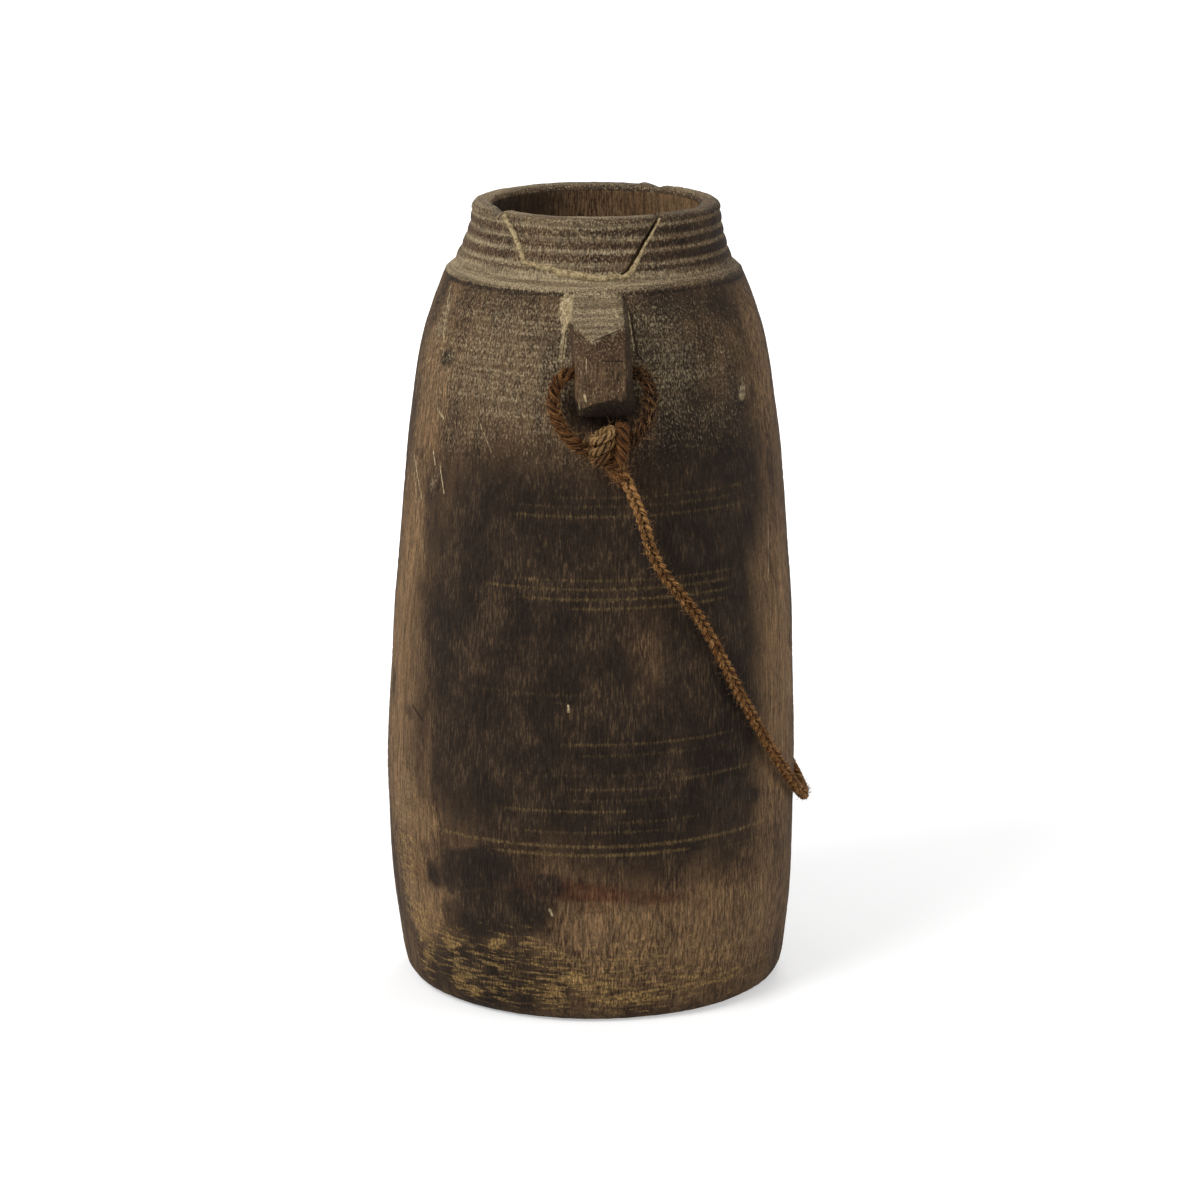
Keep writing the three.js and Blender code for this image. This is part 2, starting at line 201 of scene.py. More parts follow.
def directions(line, outward):
    """At each point of a line: its place, the way across and the way out."""
    found = []
    for i, place in enumerate(line):
        along = (line[min(i + 1, len(line) - 1)] - line[max(i - 1, 0)]).normalized()
        across = along.cross(outward(place)).normalized()
        found.append((place, across, across.cross(along)))
    return found


def point_mark(bm, name):
    """A number that every point of the mesh carries, for its material to read."""
    layers = bm.verts.layers.float
    return layers.get(name) or layers.new(name)


def roll_tube(bm, line, radius, sides=8, wear_and_shade=0.0, rope=None, shade=0.0):
    """Rolls a grid into a tube along a line. The radius may change along it.

    rope is the middle line and the radius of the whole rope that the strand lies in:
    what is deep between the strands gets painted shade, and the right side painted shade too.
    """
    uv = bm.loops.layers.uv.verify()
    wear_and_shade_layer = point_mark(bm, "wear_and_shade")
    sunk = point_mark(bm, "sunk")
    rings = len(line) - 1
    made = bmesh.ops.create_grid(bm, x_segments=rings, y_segments=sides, size=1, calc_uvs=True)
    length = route_length(line) * MM
    reach = directions(line, lambda place: SLANT)
    faces = {face for v in made["verts"] for face in v.link_faces}
    for v in made["verts"]:
        step = round((v.co.x + 1) / 2 * rings)
        turn = (v.co.y + 1) * math.pi
        place, across, out = reach[step]
        thick = radius(step / rings) if callable(radius) else radius
        v.co = place + thick * (math.cos(turn) * across + math.sin(turn) * out)
        v[wear_and_shade_layer] = wear_and_shade
        if rope:
            middle, whole = rope
            out_of = (v.co - middle[step]).length / whole
            # painted shade: dark deep between the strands, and on the loops' right side
            v[sunk] = ramp(out_of, SUNK_FROM, SUNK_FULL)
            v[sunk] += shade * ramp(v.co.x / MM, 0, SHADE_REACH)
    for face in faces:
        for loop in face.loops:
            u, v = loop[uv].uv
            loop[uv].uv = (u * length, v * 2 * math.pi * MAP_RADIUS * MM)
    bmesh.ops.remove_doubles(bm, verts=made["verts"], dist=1e-6)
    rims = [e for e in bm.edges if e.is_boundary]
    bmesh.ops.holes_fill(bm, edges=rims, sides=0)


def object_from(bm, name):
    """Turns a bmesh into a smooth-shaded object whose faces point outwards."""
    bmesh.ops.recalc_face_normals(bm, faces=bm.faces)
    mesh = bpy.data.meshes.new(name)
    bm.to_mesh(mesh)
    bm.free()
    mesh.shade_smooth()
    made = bpy.data.objects.new(name, mesh)
    bpy.context.scene.collection.objects.link(made)
    return made


print("map of a strand:", round(2 * math.pi * MAP_RADIUS, 1), "mm wide")

# %% [markdown]
# The loops are laid rope: three twisted strands wind round each other, and a rope maker
# lays them by turning all three at once. The sling is a flat plait, softer in the hand,
# in which each strand crosses over and under the others in turn.

# %% Laid rope and plait
STRANDS = 3
LAY_SHARE = 0.285  # of the rope's thickness: how far out a strand winds
STRAND_SHARE = 0.222  # and the strand's own radius
LOOP_PITCH = 12.5  # mm along the rope in which a strand goes round once
LOOP_SHADE = 0.6  # how dark the loops get on the side away from the lamp
# the plait in mm: how far a strand swings sideways and in and out, its own radius, the
# radius of the whole, and the length in which the weave repeats
PLAIT_WIDE = 1.65
PLAIT_DEEP = 0.95
PLAIT_STRAND = 1.2
PLAIT_RADIUS = 2.25
PLAIT_PITCH = 11.6


def from_axis(place):
    """Straight out from the pot's axis."""
    return Vector((place.x, place.y, 0)).normalized()


def from_middle(place):
    """Straight to the front, or to the back for what is behind."""
    return Vector((0, place.y, 0))


def laid_strands(bm, line, thick, pitch, start=0.0, loose=0.1, wear_and_shade=0.0, shade=0.0):
    """Lays twisted strands round a line, as a rope maker does. Sizes in mm."""
    lay = thick * LAY_SHARE * MM
    strand = thick * STRAND_SHARE * MM
    reach = directions(line, from_middle)
    step = route_length(line) / (len(line) - 1)
    for s in range(STRANDS):
        path = []
        for i, (place, across, out) in enumerate(reach):
            turn = 2 * math.pi * (i * step / pitch + s / STRANDS) + start
            swell = 1 + loose * noise.noise(place * 260 + Vector((0, 0, 9 * s)))
            path.append(place + lay * swell * (math.cos(turn) * across + math.sin(turn) * out))
        lumpy = lambda t, s=s: strand * (1 + 0.18 * noise.noise(Vector((t * 31, s, thick))))
        roll_tube(bm, path, lumpy, wear_and_shade=wear_and_shade, rope=(line, lay + strand), shade=shade)


def plaited_strands(bm, line):
    """Plaits strands flat along a line, each crossing over and under in turn."""
    reach = directions(line, from_axis)
    step = route_length(line) / (len(line) - 1)
    for s in range(STRANDS):
        path = []
        for i, (place, across, out) in enumerate(reach):
            turn = 2 * math.pi * (i * step / PLAIT_PITCH + s / STRANDS)
            lump = 1 + 0.1 * noise.noise(place * 180 + Vector((s * 5, 0, 0)))
            sideways = PLAIT_WIDE * MM * lump * math.sin(turn)
            path.append(place + sideways * across + PLAIT_DEEP * MM * math.sin(2 * turn) * out)
        lumpy = lambda t, s=s: PLAIT_STRAND * MM * (1 + 0.1 * noise.noise(Vector((t * 60, s, 3))))
        roll_tube(bm, path, lumpy, rope=(line, PLAIT_RADIUS * MM))


def loop_rope(name, line):
    bm = bmesh.new()
    laid_strands(bm, line, LOOP_ROPE, LOOP_PITCH, shade=LOOP_SHADE)
    return object_from(bm, name)


def plait(name, lines):
    bm = bmesh.new()
    for line in lines:
        plaited_strands(bm, line)
    return object_from(bm, name)


front_loop = loop_rope("front_loop_rope", front_loop_line)
rear_loop = loop_rope("rear_loop_rope", rear_loop_line)
sling = plait("sling_plait", [sling_line])
tail_line = smooth_route(SLING_TAIL, ROUTE_STEP)
sling_tails = plait("sling_tails_in_knots", [tail_line, mirrored(tail_line)])
print("faces:", len(front_loop.data.polygons), "a loop,", len(sling.data.polygons), "the sling")

# %% [markdown]
# The knot under the lug ties both ends of the loop and starts the sling. Three short
# leaning turns show on the left, one thick bight stands up on the right, and a hairy
# collar below grips the sling, whose end goes on to the knot's middle. Each is drawn as
# its own short length of laid rope, because a real knot is a rope too and a lump would
# not catch the light like one.

# %% Knots
# right, out and up of a turn's middle, half width, half depth, lean, thickness and wear
TURNS = [
    ((-2.8, 0.6, 7.2), 4.3, 7.2, 27, 3.9, 1.0),
    ((-3.2, 0.6, 2.6), 4.5, 7.7, 30, 4.0, 0.85),
    ((-3.0, 0.4, -1.8), 4.1, 7.1, 27, 3.7, 0.7),
    ((1.6, 0.4, -5.6), 4.2, 6.3, -16, 4.8, 0.1),
    ((3.6, 0.2, -9.2), 3.3, 5.5, -24, 4.4, 0.0),
]
BIGHT = [
    (2.4, -3.4, -8), (4.2, -5.6, -1), (5.4, -6.0, 4), (5.8, -4.4, 8.4), (5.8, 0, 10.4),
    (5.8, 4.2, 8.6), (5.8, 6.0, 4), (4.8, 6.0, -1.4), (3.2, 4.6, -7.4), (2.6, 2.6, -11.4),
]
COLLAR = [(0.4, 1.6, -1), (1.6, 3.4, -5), (3.4, 4.6, -9.2), (5.6, 5.2, -11.6), (6.6, 5.6, -12.6)]
BIGHT_ROPE = 6.2  # thickness in mm
COLLAR_ROPE = 6.6
TURN_PITCH = 9.5  # mm in which a strand goes round once
BIGHT_PITCH = 11
CORE_MIDDLE = (1.0, 0, -1.5)  # of the plain core inside, and half its sizes
CORE_HALF = (5.6, 5.4, 8.4)


def in_knot(right, out, up, side):
    """A place in millimetres from the middle of the front (1) or rear (-1) knot."""
    x, y, z = KNOT_MIDDLE
    return (x + right, side * (y - out), z + up)


def through_knot(points, side):
    """A smooth line through places given from the knot's middle."""
    return smooth_route([in_knot(*p, side) for p in points], KNOT_STEP)


def knot_turn(middle, wide, deep, lean, side):
    """The line of one leaning turn about the knot."""
    points = []
    for degrees in range(-100, 262, 12):
        right = wide * math.cos(math.radians(degrees))
        out = deep * math.sin(math.radians(degrees))
        up = right * math.tan(math.radians(lean))
        points.append((middle[0] + right, middle[1] + out, middle[2] + up))
    return through_knot(points, side)


def tie_knot(name, side):
    """The knot's ropes, round a plain core that closes the gaps between them."""
    bm = bmesh.new()
    for number, (*turn, thick, wear) in enumerate(TURNS):
        line = knot_turn(*turn, side)
        laid_strands(bm, line, thick, TURN_PITCH, start=number * 1.3, wear_and_shade=wear)
    bight = through_knot(BIGHT, side)
    laid_strands(bm, bight, BIGHT_ROPE, BIGHT_PITCH, loose=0.2, wear_and_shade=0.2)
    collar = through_knot(COLLAR, side)
    laid_strands(bm, collar, COLLAR_ROPE, BIGHT_PITCH, start=0.7, loose=0.25)
    core = bmesh.ops.create_icosphere(bm, subdivisions=3, radius=1)["verts"]
    middle = Vector(in_knot(*CORE_MIDDLE, side)) * MM
    for v in core:
        v.co = middle + Vector([c * half for c, half in zip(v.co, CORE_HALF)]) * MM
    return object_from(bm, name)


front_knot = tie_knot("front_knot_turns", 1)
rear_knot = tie_knot("rear_knot_turns", -1)
print("knot faces:", len(front_knot.data.polygons))

# %% [markdown]
# Coir sheds hairs. Loose fibres stand off the ropes all along and thickest at the
# knot. They are curves, about twice as thick as the real hairs, because a true
# hair is too fine to show in the render. A fixed seed grows the same ones each run.

# %% Loose fibres
LOOP_HAIRS = 860
KNOT_HAIRS = 980
SLING_HAIRS = 2400
HAIR_PARTS = 4  # straight parts in a bent hair


def fibres(name, lines, count, longest, seed, thick=0.08):
    """Grows short bent hairs from the surface of ropes. lines are (line, rope thickness)."""
    rng = random.Random(seed)
    curve = bpy.data.curves.new(name, "CURVE")
    curve.dimensions = "3D"
    curve.bevel_depth = thick * MM
    curve.bevel_resolution = 0
    for _ in range(count):
        line, rope = rng.choice(lines)
        i = rng.randrange(1, len(line) - 1)
        along = (line[i + 1] - line[i - 1]).normalized()
        away = Vector([rng.gauss(0, 1) for _ in range(3)])
        away = (away - away.dot(along) * along).normalized()
        lean = rng.uniform(-1.6, 1.6)
        place = line[i] + away * rope * 0.40 * MM
        way = (0.62 * away + lean * along).normalized()
        length = rng.uniform(0.35, 1) ** 1.6 * longest
        bend = Vector([rng.gauss(0, 0.34) for _ in range(3)])
        hair = curve.splines.new("POLY")
        hair.points.add(HAIR_PARTS)
        for n, point in enumerate(hair.points):
            point.co = (*place, 1)
            point.radius = 1 - 0.16 * n
            place = place + way * length / HAIR_PARTS * MM
            way = (way + bend * 0.6).normalized()
    made = bpy.data.objects.new(name, curve)
    bpy.context.scene.collection.objects.link(made)
    return made


def knot_lines(side):
    """The knot's lines with their thickness. The hairy collar counts three times."""
    lines = [(knot_turn(*turn, side), thick) for *turn, thick, _ in TURNS]
    lines.append((through_knot(BIGHT, side), 6.4))
    return lines + 3 * [(through_knot(COLLAR, side), 7)]


front_fuzz = fibres("front_loop_fibres", [(front_loop_line, LOOP_ROPE)], LOOP_HAIRS, 7, 11)
rear_fuzz = fibres("rear_loop_fibres", [(rear_loop_line, LOOP_ROPE)], LOOP_HAIRS, 7, 12)
front_tufts = fibres("front_knot_fibres", knot_lines(1), KNOT_HAIRS, 6, 13)
rear_tufts = fibres("rear_knot_fibres", knot_lines(-1), KNOT_HAIRS, 6, 14)
sling_fuzz = fibres("sling_fibres", [(sling_line, SLING_ROPE)], SLING_HAIRS, 4.4, 15, 0.065)
print("fibres grown:", 2 * (LOOP_HAIRS + KNOT_HAIRS) + SLING_HAIRS)

# %% [markdown]
# The body was turned on a lathe, so its outline is drawn once and spun round. The
# radii were read off the photograph's own edge: a rounded foot, a long belly that is
# widest a quarter of the way up, a shoulder, a hollow cove and a neck with turned bands.

# %% Outline of the pot, in millimetres
# height and radius of the side, from the foot to the shoulder's edge
SIDE = [
    (6, 88.4), (12, 89.7), (22, 90.9), (40, 93.1), (60, 94.6), (80, 95.1), (100, 95.3),
    (129, 94.5), (158, 93.4), (178, 92.4), (197, 90.9), (216, 89.4), (235, 87.8), (254, 86.1),
    (272, 83.8), (291, 81.1), (305, 78.2), (314, 75.5), (322, 72.8), (329, 70.1), (334.5, 67.9),
]
# and of the neck, along the crests of its bands
NECK = [
    (334.5, 67.9), (336.2, 66.0), (338.3, 63.6), (340.6, 62.9), (343, 61.9), (346, 60.8),
    (348.7, 59.9), (351.5, 59.0), (354, 58.3), (358, 57.5), (362, 57.0), (366, 56.6),
]
NECK_START = 334.5
BASE_RADIUS = 79.8  # the flat that it stands on
FOOT_ROUND = 10  # how high the rounded foot goes
FOOT_REACH = 9.3  # and how far out
GROOVES = [361.6, 356, 350.7, 344.9]  # heights of the turned grooves in the neck
GROOVE_DEPTH = 0.55
GROOVE_HALF = 1.25
RIM_TOP = 366
RIM_FOOT = 362.4
RIM_WALL = 9.5
WALL = 12
FLOOR = 22
FILLET = 16  # rounding inside, from the wall to the floor
# scribed lines: height, the angles between which dust shows in it, and how clearly;
# below zero the line holds soot
SCRIBED = [
    (245.1, -20, 55, 0.45), (241.1, -30, 50, 0.5), (236.6, -32, 52, 0.6), (208, -30, 45, 0.6),
    (204, -40, 42, 0.75), (199.5, -28, 42, 0.9), (195.4, -14, 40, 0.85), (156, -40, 2, 0.35),
    (152.4, -30, 12, 0.3), (133.5, -16, 42, 0.7), (128.5, -12, 32, 0.5), (119.3, -30, 36, 0.4),
    (115.6, 12, 52, 0.6), (112.8, -16, 20, 0.55), (107.6, -15, 28, 0.45), (102.6, -34, 10, 0.8),
    (97.2, -4, 32, 0.5), (92.8, -32, 20, 0.5), (86.2, -78, 60, 1.1), (82.2, -34, 27, 1.2),
    (79.6, 30, 62, 0.5), (60.1, 10, 60, 0.35), (30.3, -30, 20, 0.4), (16.4, 24, 66, 0.8),
    (332.9, -86, 86, -1.0),
]
SCRIBE_REACH = 1.5
print("measured places:", len(SIDE) + len(NECK), "scribed lines:", len(SCRIBED))

# %% [markdown]
# The tables give the radius at some heights only, so the outline follows a smooth curve
# between them. It goes over the foot and up the side, over the lip, and down inside,
# with close points where a scribed line or a turned groove needs them.

# %% Half the section of the pot


def through(table, height):
    """Reads a radius off a table of heights and radii, along a smooth curve."""
    last = len(table) - 1
    i = next((n for n in range(1, last) if table[n][0] > height), last)
    (z0, r0), (z1, r1) = table[i - 1], table[i]
    before = table[max(i - 2, 0)]
    after = table[min(i + 1, last)]
    slope0 = (r1 - before[1]) / (z1 - before[0])
    slope1 = (after[1] - r0) / (after[0] - z0)
    t = min(max((height - z0) / (z1 - z0), 0), 1)
    run = z1 - z0
    start = (2 * t**3 - 3 * t**2 + 1) * r0 + (t**3 - 2 * t**2 + t) * run * slope0
    return start + (3 * t**2 - 2 * t**3) * r1 + (t**3 - t**2) * run * slope1


def outside_radius(height):
    return through(NECK if height > NECK_START else SIDE, max(height, FOOT_ROUND))


def in_groove(height):
    """1 in the middle of a turned groove of the neck, fading to 0 on the crests."""
    near = min(abs(height - groove) for groove in GROOVES)
    return math.exp(-((near / GROOVE_HALF) ** 2))


def outside_points():
    """From the middle of the base over the foot and up the side to the lip."""
    points = [(0, 1.2), (30, 1.1), (58, 0.9), (71, 0.6), (76, 0), (BASE_RADIUS, 0)]
    for i in range(1, 8):
        a = i / 8 * math.pi / 2
        out, up = FOOT_REACH * math.sin(a), FOOT_ROUND * (1 - math.cos(a))
        points.append((BASE_RADIUS + out, up))
    heights = [10.5 + 3 * i for i in range(109)]
    for line, *_ in SCRIBED:
        heights = [z for z in heights if abs(z - line) > SCRIBE_REACH + 0.3]
    for line, *_ in SCRIBED:
        heights += [line + share * SCRIBE_REACH for share in (-1, -0.45, 0, 0.45, 1)]
    points += [(outside_radius(z), z) for z in sorted(heights) if z < 334]
    z = NECK_START
    while z < RIM_FOOT:
        points.append((outside_radius(z) - GROOVE_DEPTH * in_groove(z), z))
        z += 0.62
    return points


def lip_points():
    """Over the lip, from outside to inside."""
    points = []
    middle = outside_radius(RIM_FOOT) - RIM_WALL / 2
    for i in range(17):
        a = i / 16 * math.pi
        flat = math.copysign(abs(math.cos(a)) ** 0.9, math.cos(a))
        rise = (RIM_TOP - RIM_FOOT) * math.sin(a) ** 0.9
        points.append((middle + RIM_WALL / 2 * flat, RIM_FOOT + rise))
    return points


def inside_points():
    """Down the neck and the wall inside, and round to the middle of the floor."""
    points = [(47.6, 358), (47.8, 352), (48, 346), (48.5, 340), (50.6, 334), (55.6, 328)]
    heights = [322 - 8 * i for i in range(36)]
    points += [(outside_radius(z) - WALL, z) for z in heights if z > FLOOR + FILLET]
    reach = outside_radius(FLOOR + FILLET) - WALL - FILLET
    for i in range(7):
        a = i / 6 * math.pi / 2
        points.append((reach + FILLET * math.cos(a), FLOOR + FILLET * (1 - math.sin(a))))
    return [*points, (48, FLOOR), (24, FLOOR + 0.2), (0, FLOOR + 0.4)]


outline = [*outside_points(), *lip_points(), *inside_points()]
print("outline of", len(outline), "points")

# %% [markdown]
# Spinning the outline once round the axis does what the lathe did.

# %% Turned blank
SPIN_STEPS = 240
bm = bmesh.new()
row = [bm.verts.new((r * MM, 0, z * MM)) for r, z in outline]
edges = [bm.edges.new(pair) for pair in zip(row, row[1:])]
bmesh.ops.spin(
    bm, geom=row + edges, cent=(0, 0, 0), axis=(0, 0, 1),
    angle=2 * math.pi, steps=SPIN_STEPS, use_merge=True,
)
bmesh.ops.remove_doubles(bm, verts=bm.verts, dist=1e-6)
print("turned blank:", len(bm.verts), "points")

# %% [markdown]
# From here on a place is told as one points at it on the real pot: how far round from
# the front, and how high. Each mark of wear fades out softly round its middle.

# %% Places on the pot


def place_on_pot(co):
    """Degrees from the front towards the right, height and distance from the axis in mm."""
    return math.degrees(math.atan2(co.x, -co.y)), co.z / MM, math.hypot(co.x, co.y) / MM


def turn_between(angle, middle):
    return (angle - middle + 180) % 360 - 180


def bump(value, middle, half):
    """1 at the middle, falling smoothly to 0 at half a width away."""
    t = min(1, abs(value - middle) / half)
    return (1 - t * t) ** 2


def shown(angle, low, high):
    """1 between two angles, with soft ends."""
    return ramp(angle, low, low + 7) * ramp(angle, high, high - 7)


print("a place on the right:", [round(v) for v in place_on_pot(Vector((0.09, 0, 0.2)))])

# %% [markdown]
# A hand-worked pot is never quite round. The wall swells a little to the left low
# down, the sides waver, the lip has worn dips and one lifted splinter at the back, and
# the tool that turned it left grooves. Each point is moved by a few tenths of a
# millimetre, up to two, so that edges and highlights waver as they do on the real one.

# %% Wear and hand work
# dents in the side: angle from the front, height, half width in degrees, half height
# and depth in mm
DENTS = [(75, 165.5, 1.5, 5, 1.1), (51, 282, 3.5, 6, 0.7), (-62, 303, 5, 6, 0.5)]
# worn dips (below zero) and splinters of the lip: angle, half width and lift
LIP_WEAR = [(-60, 10, -2.0), (60, 16, -0.7), (151, 4, 0.9), (143, 5, -1.0)]
LIP_WEAR_FROM = 356
BELLY_LEFT = 1.5  # how far the belly swells to the left
MOUTH_RIGHT = 0.9  # and how far the neck stands to the right


def outer_move(co, unit, angle, z):
    """How far a point of the outside moves out: waver, tool lines, scribed lines, dents."""
    move = 0.55 * noise.noise(co * 22)
    move += 0.2 * noise.noise(Vector((co.x, co.y, co.z * 0.4)) * 90)
    move += 0.12 * noise.noise(Vector((unit.x * 3, unit.y * 3, co.z * 420)))
    for line, low, high, strength in SCRIBED:
        near = abs(z - line)
        if near < SCRIBE_REACH:
            depth = 0.12 + 0.2 * abs(strength) * shown(angle, low, high)
            move -= depth * (1 - near / SCRIBE_REACH)
    for middle, level, wide, tall, depth in DENTS:
        move -= depth * bump(turn_between(angle, middle), 0, wide) * bump(z, level, tall)
    return move


def inner_move(co, unit, z):
    """The long gouge marks of the hollowing knife."""
    gouge = noise.noise(Vector((unit.x * 22, unit.y * 22, z / 90)))
    return 0.5 * gouge + 0.4 * noise.noise(co * 30)


def lip_lift(unit, angle):
    """How far the lip is worn down, or stands up."""
    lift = 0.35 * noise.noise(unit * 4) + 0.22 * noise.noise(unit * 13)
    for middle, wide, rise in LIP_WEAR:
        lift += rise * bump(turn_between(angle, middle), 0, wide)
    return lift


def worked(co):
    """Where a point of the turned blank ends up after a long life."""
    angle, z, r = place_on_pot(co)
    if r < 1:
        return co
    unit = Vector((co.x, co.y, 0)).normalized()
    outer = r > outside_radius(z) - 6 and z > 2
    move = outer_move(co, unit, angle, z) if outer else inner_move(co, unit, z)
    moved = co + unit * move * MM
    moved.x -= BELLY_LEFT * bump(z, 100, 110) * MM
    moved.x += MOUTH_RIGHT * ramp(z, 342, 356) * MM
    if z > LIP_WEAR_FROM:
        moved.z += (z - LIP_WEAR_FROM) / 10 * lip_lift(unit, angle) * MM
    return moved


for v in bm.verts:
    v.co = worked(v.co)
pot = object_from(bm, "pot_wood")
print("right side at", round(max(v.co.x for v in pot.data.vertices) / MM, 1), "mm")

# %% [markdown]
# The lugs were left standing when the block was turned, then cut to shape with a
# knife. Flat facets meet at worn edges: a sloping top that runs out of the cove, a
# short steep facet with a V-shaped upper edge, the upright nose, and a cut-back
# underside. A grid is laid over those facets with each crossing put in its place,
# and thickened back into the wall.

# %% Lug facets, in millimetres
# Rows run down the lug, and each goes across it from left to right:
# right of the pot's front line, out from its axis, height
LUG_ROWS = [
    [(-12.9, 66.4, 334.4), (-8, 66.9, 334.9), (-2, 67.1, 335), (5, 66.9, 334.9), (9, 66.4, 334.4)],
    [
        (-13.6, 83.0, 322.4), (-11.6, 86.2, 321.8), (-6.4, 91.4, 316.3), (7, 87.6, 321.2),
        (10.1, 84.8, 320.5),
    ],
    [
        (-13.4, 92.8, 308.5), (-7.6, 96.3, 309.6), (-0.5, 96.9, 308.8), (7.6, 96.6, 308.2),
        (11.2, 93.4, 307.6),
    ],
    [
        (-13.1, 92.2, 290.4), (-9.8, 95.4, 287.4), (-3.6, 96.5, 290.8), (9.3, 96.2, 291),
        (13.0, 92.9, 290.6),
    ],
    [
        (-12.4, 89.4, 282.9), (-9.8, 90.4, 282.5), (-1.5, 90.7, 282.5), (9.5, 90.5, 282.7),
        (12.9, 89.4, 283.3),
    ],
]
LUG_BITE = 6  # how deep the lug goes into the wall
LUG_FLARE = 2.4  # how much its outer columns spread where it meets the wall
LUG_WORN_EDGE = 0.4
HALF_TURN = Matrix.Rotation(math.pi, 3, "Z")


def lay_facets(bm):
    """A grid with each crossing put where the facets of the lug meet."""
    rows, columns = len(LUG_ROWS), len(LUG_ROWS[0])
    grid = bmesh.ops.create_grid(bm, x_segments=columns - 1, y_segments=rows - 1, size=1)
    for v in grid["verts"]:
        column = round((v.co.x + 1) / 2 * (columns - 1))
        down = rows - 1 - round((v.co.y + 1) / 2 * (rows - 1))
        right, out, height = LUG_ROWS[down][column]
        v.co = Vector((right, -out, height)) * MM


def thicken_into_wall(bm):
    """Carries the facets back into the pot's wall, so that they close a block."""
    back = bmesh.ops.extrude_face_region(bm, geom=bm.faces[:])
    for v in [g for g in back["geom"] if isinstance(g, bmesh.types.BMVert)]:
        height = v.co.z / MM
        if not -12.5 < v.co.x / MM < 8.9:
            v.co.x += math.copysign(LUG_FLARE, v.co.x) * ramp(height, 300, 314) * MM
        deep = outside_radius(min(height, 330)) - LUG_BITE
        v.co.y = -math.sqrt(deep**2 - (v.co.x / MM) ** 2) * MM
        v.co.z = min(v.co.z, 333 * MM) + (1.6 * MM if height < 285 else 0)
    bmesh.ops.recalc_face_normals(bm, faces=bm.faces)


def carve_lug(side):
    """One lug, with worn edges and the small uneven cuts of a knife."""
    bm = bmesh.new()
    lay_facets(bm)
    thicken_into_wall(bm)
    bmesh.ops.bevel(
        bm, geom=bm.edges[:], offset=LUG_WORN_EDGE * MM, segments=2, profile=0.5,
        affect="EDGES", material=-1,
    )
    bmesh.ops.subdivide_edges(bm, edges=bm.edges[:], cuts=4, use_grid_fill=True)
    bm.normal_update()
    for v in bm.verts:
        cut = 0.2 * noise.noise(v.co * 160)
        cut += 0.26 * noise.noise(Vector((v.co.x * 30, 0, v.co.z * 560)))
        v.co += v.normal * cut * MM
    if side < 0:
        bmesh.ops.rotate(bm, verts=bm.verts, cent=(0, 0, 0), matrix=HALF_TURN)
    return object_from(bm, "lug")


print("facets on a lug:", (len(LUG_ROWS) - 1) * (len(LUG_ROWS[0]) - 1))

# %% [markdown]
# The hole for the rope is bored straight through the lug from side to side, close to
# the wall. Then each lug is joined to the pot, as it was never apart from it.

# %% Bored lugs on the pot
HOLE_RADIUS = 4.5
HOLE_OUT = 84.26
HOLE_HEIGHT = 301


def drill_bit(side):
    bm = bmesh.new()
    bmesh.ops.create_cone(
        bm, cap_ends=True, segments=40, radius1=HOLE_RADIUS * MM, radius2=HOLE_RADIUS * MM,
        depth=60 * MM,
    )
    crosswise = Matrix.Rotation(math.pi / 2, 3, "Y")
    bmesh.ops.rotate(bm, verts=bm.verts, cent=(0, 0, 0), matrix=crosswise)
    middle = (0, -side * HOLE_OUT * MM, HOLE_HEIGHT * MM)
    bmesh.ops.translate(bm, verts=bm.verts, vec=middle)
    return object_from(bm, "drill")


def combine(target, tool, operation):
    """Joins the tool to the target or cuts it out, for good, and removes the tool."""
    cut = target.modifiers.new("cut", "BOOLEAN")
    cut.operation, cut.solver, cut.object = operation, "MANIFOLD", tool
    seen = target.evaluated_get(bpy.context.evaluated_depsgraph_get())
    result = bpy.data.meshes.new_from_object(seen)
    target.modifiers.clear()
    target.data = result
    bpy.data.objects.remove(tool)


for side in (1, -1):
    lug = carve_lug(side)
    combine(lug, drill_bit(side), "DIFFERENCE")
    combine(pot, lug, "UNION")
print("pot with its lugs:", len(pot.data.polygons), "faces")

# %% [markdown]
# A piece of the rim broke out and was set back with a sandy paste. The break ran
# down from the lip on the left, along above the cove, and up again on the right.
# A thin saw-cut of that shape is made through the wall, with small random steps as
# in torn wood, and the pot falls into two bodies: the vessel and the refitted piece.

# %% The break, as degrees from the front and millimetres below the rim
BREAK = [
    (-50, -3), (-50, 0), (-46.5, 4), (-43.5, 7), (-41, 10), (-38, 14.3), (-33.7, 20.8),
    (-29, 21.6), (-24, 22.6), (-16, 24.4), (-11, 25), (0, 26.8), (8, 25.4), (11, 24),
    (15, 18.6), (19, 13), (24, 6.7), (29, 0), (29.6, -3),
]
KERF_LEFT = 1.7
KERF_RIGHT = 3.4
NECK_RADIUS = 59.5  # where the break's angles and heights are laid out flat
RIGHT_ARM = 8  # mm right of the front line, where the break climbs again
SAW_INSIDE = 38  # mm from the axis to the saw's inner edge; the outer is twice as far


def torn_line():
    """The break as points laid out flat, in mm, with small steps added."""
    points = []
    for (a0, d0), (a1, d1) in zip(BREAK, BREAK[1:]):
        for i in range(5):
            t = i / 5
            angle, drop = a0 + (a1 - a0) * t, d0 + (d1 - d0) * t
            shift = 0.45 * noise.noise(Vector((angle * 0.5, drop * 0.4, 3)))
            across = math.radians(angle) * NECK_RADIUS + shift
            points.append(Vector((across, RIM_TOP - drop + shift)))
    last = BREAK[-1]
    return [*points, Vector((math.radians(last[0]) * NECK_RADIUS, RIM_TOP - last[1]))]


def beside(line, distance):
    """The line drawn again at a distance to its left, which may change along it."""
    moved = []
    for i, p in enumerate(line):
        along = (line[min(i + 1, len(line) - 1)] - line[max(i - 1, 0)]).normalized()
        moved.append(p + Vector((-along.y, along.x)) * distance(p))
    return moved


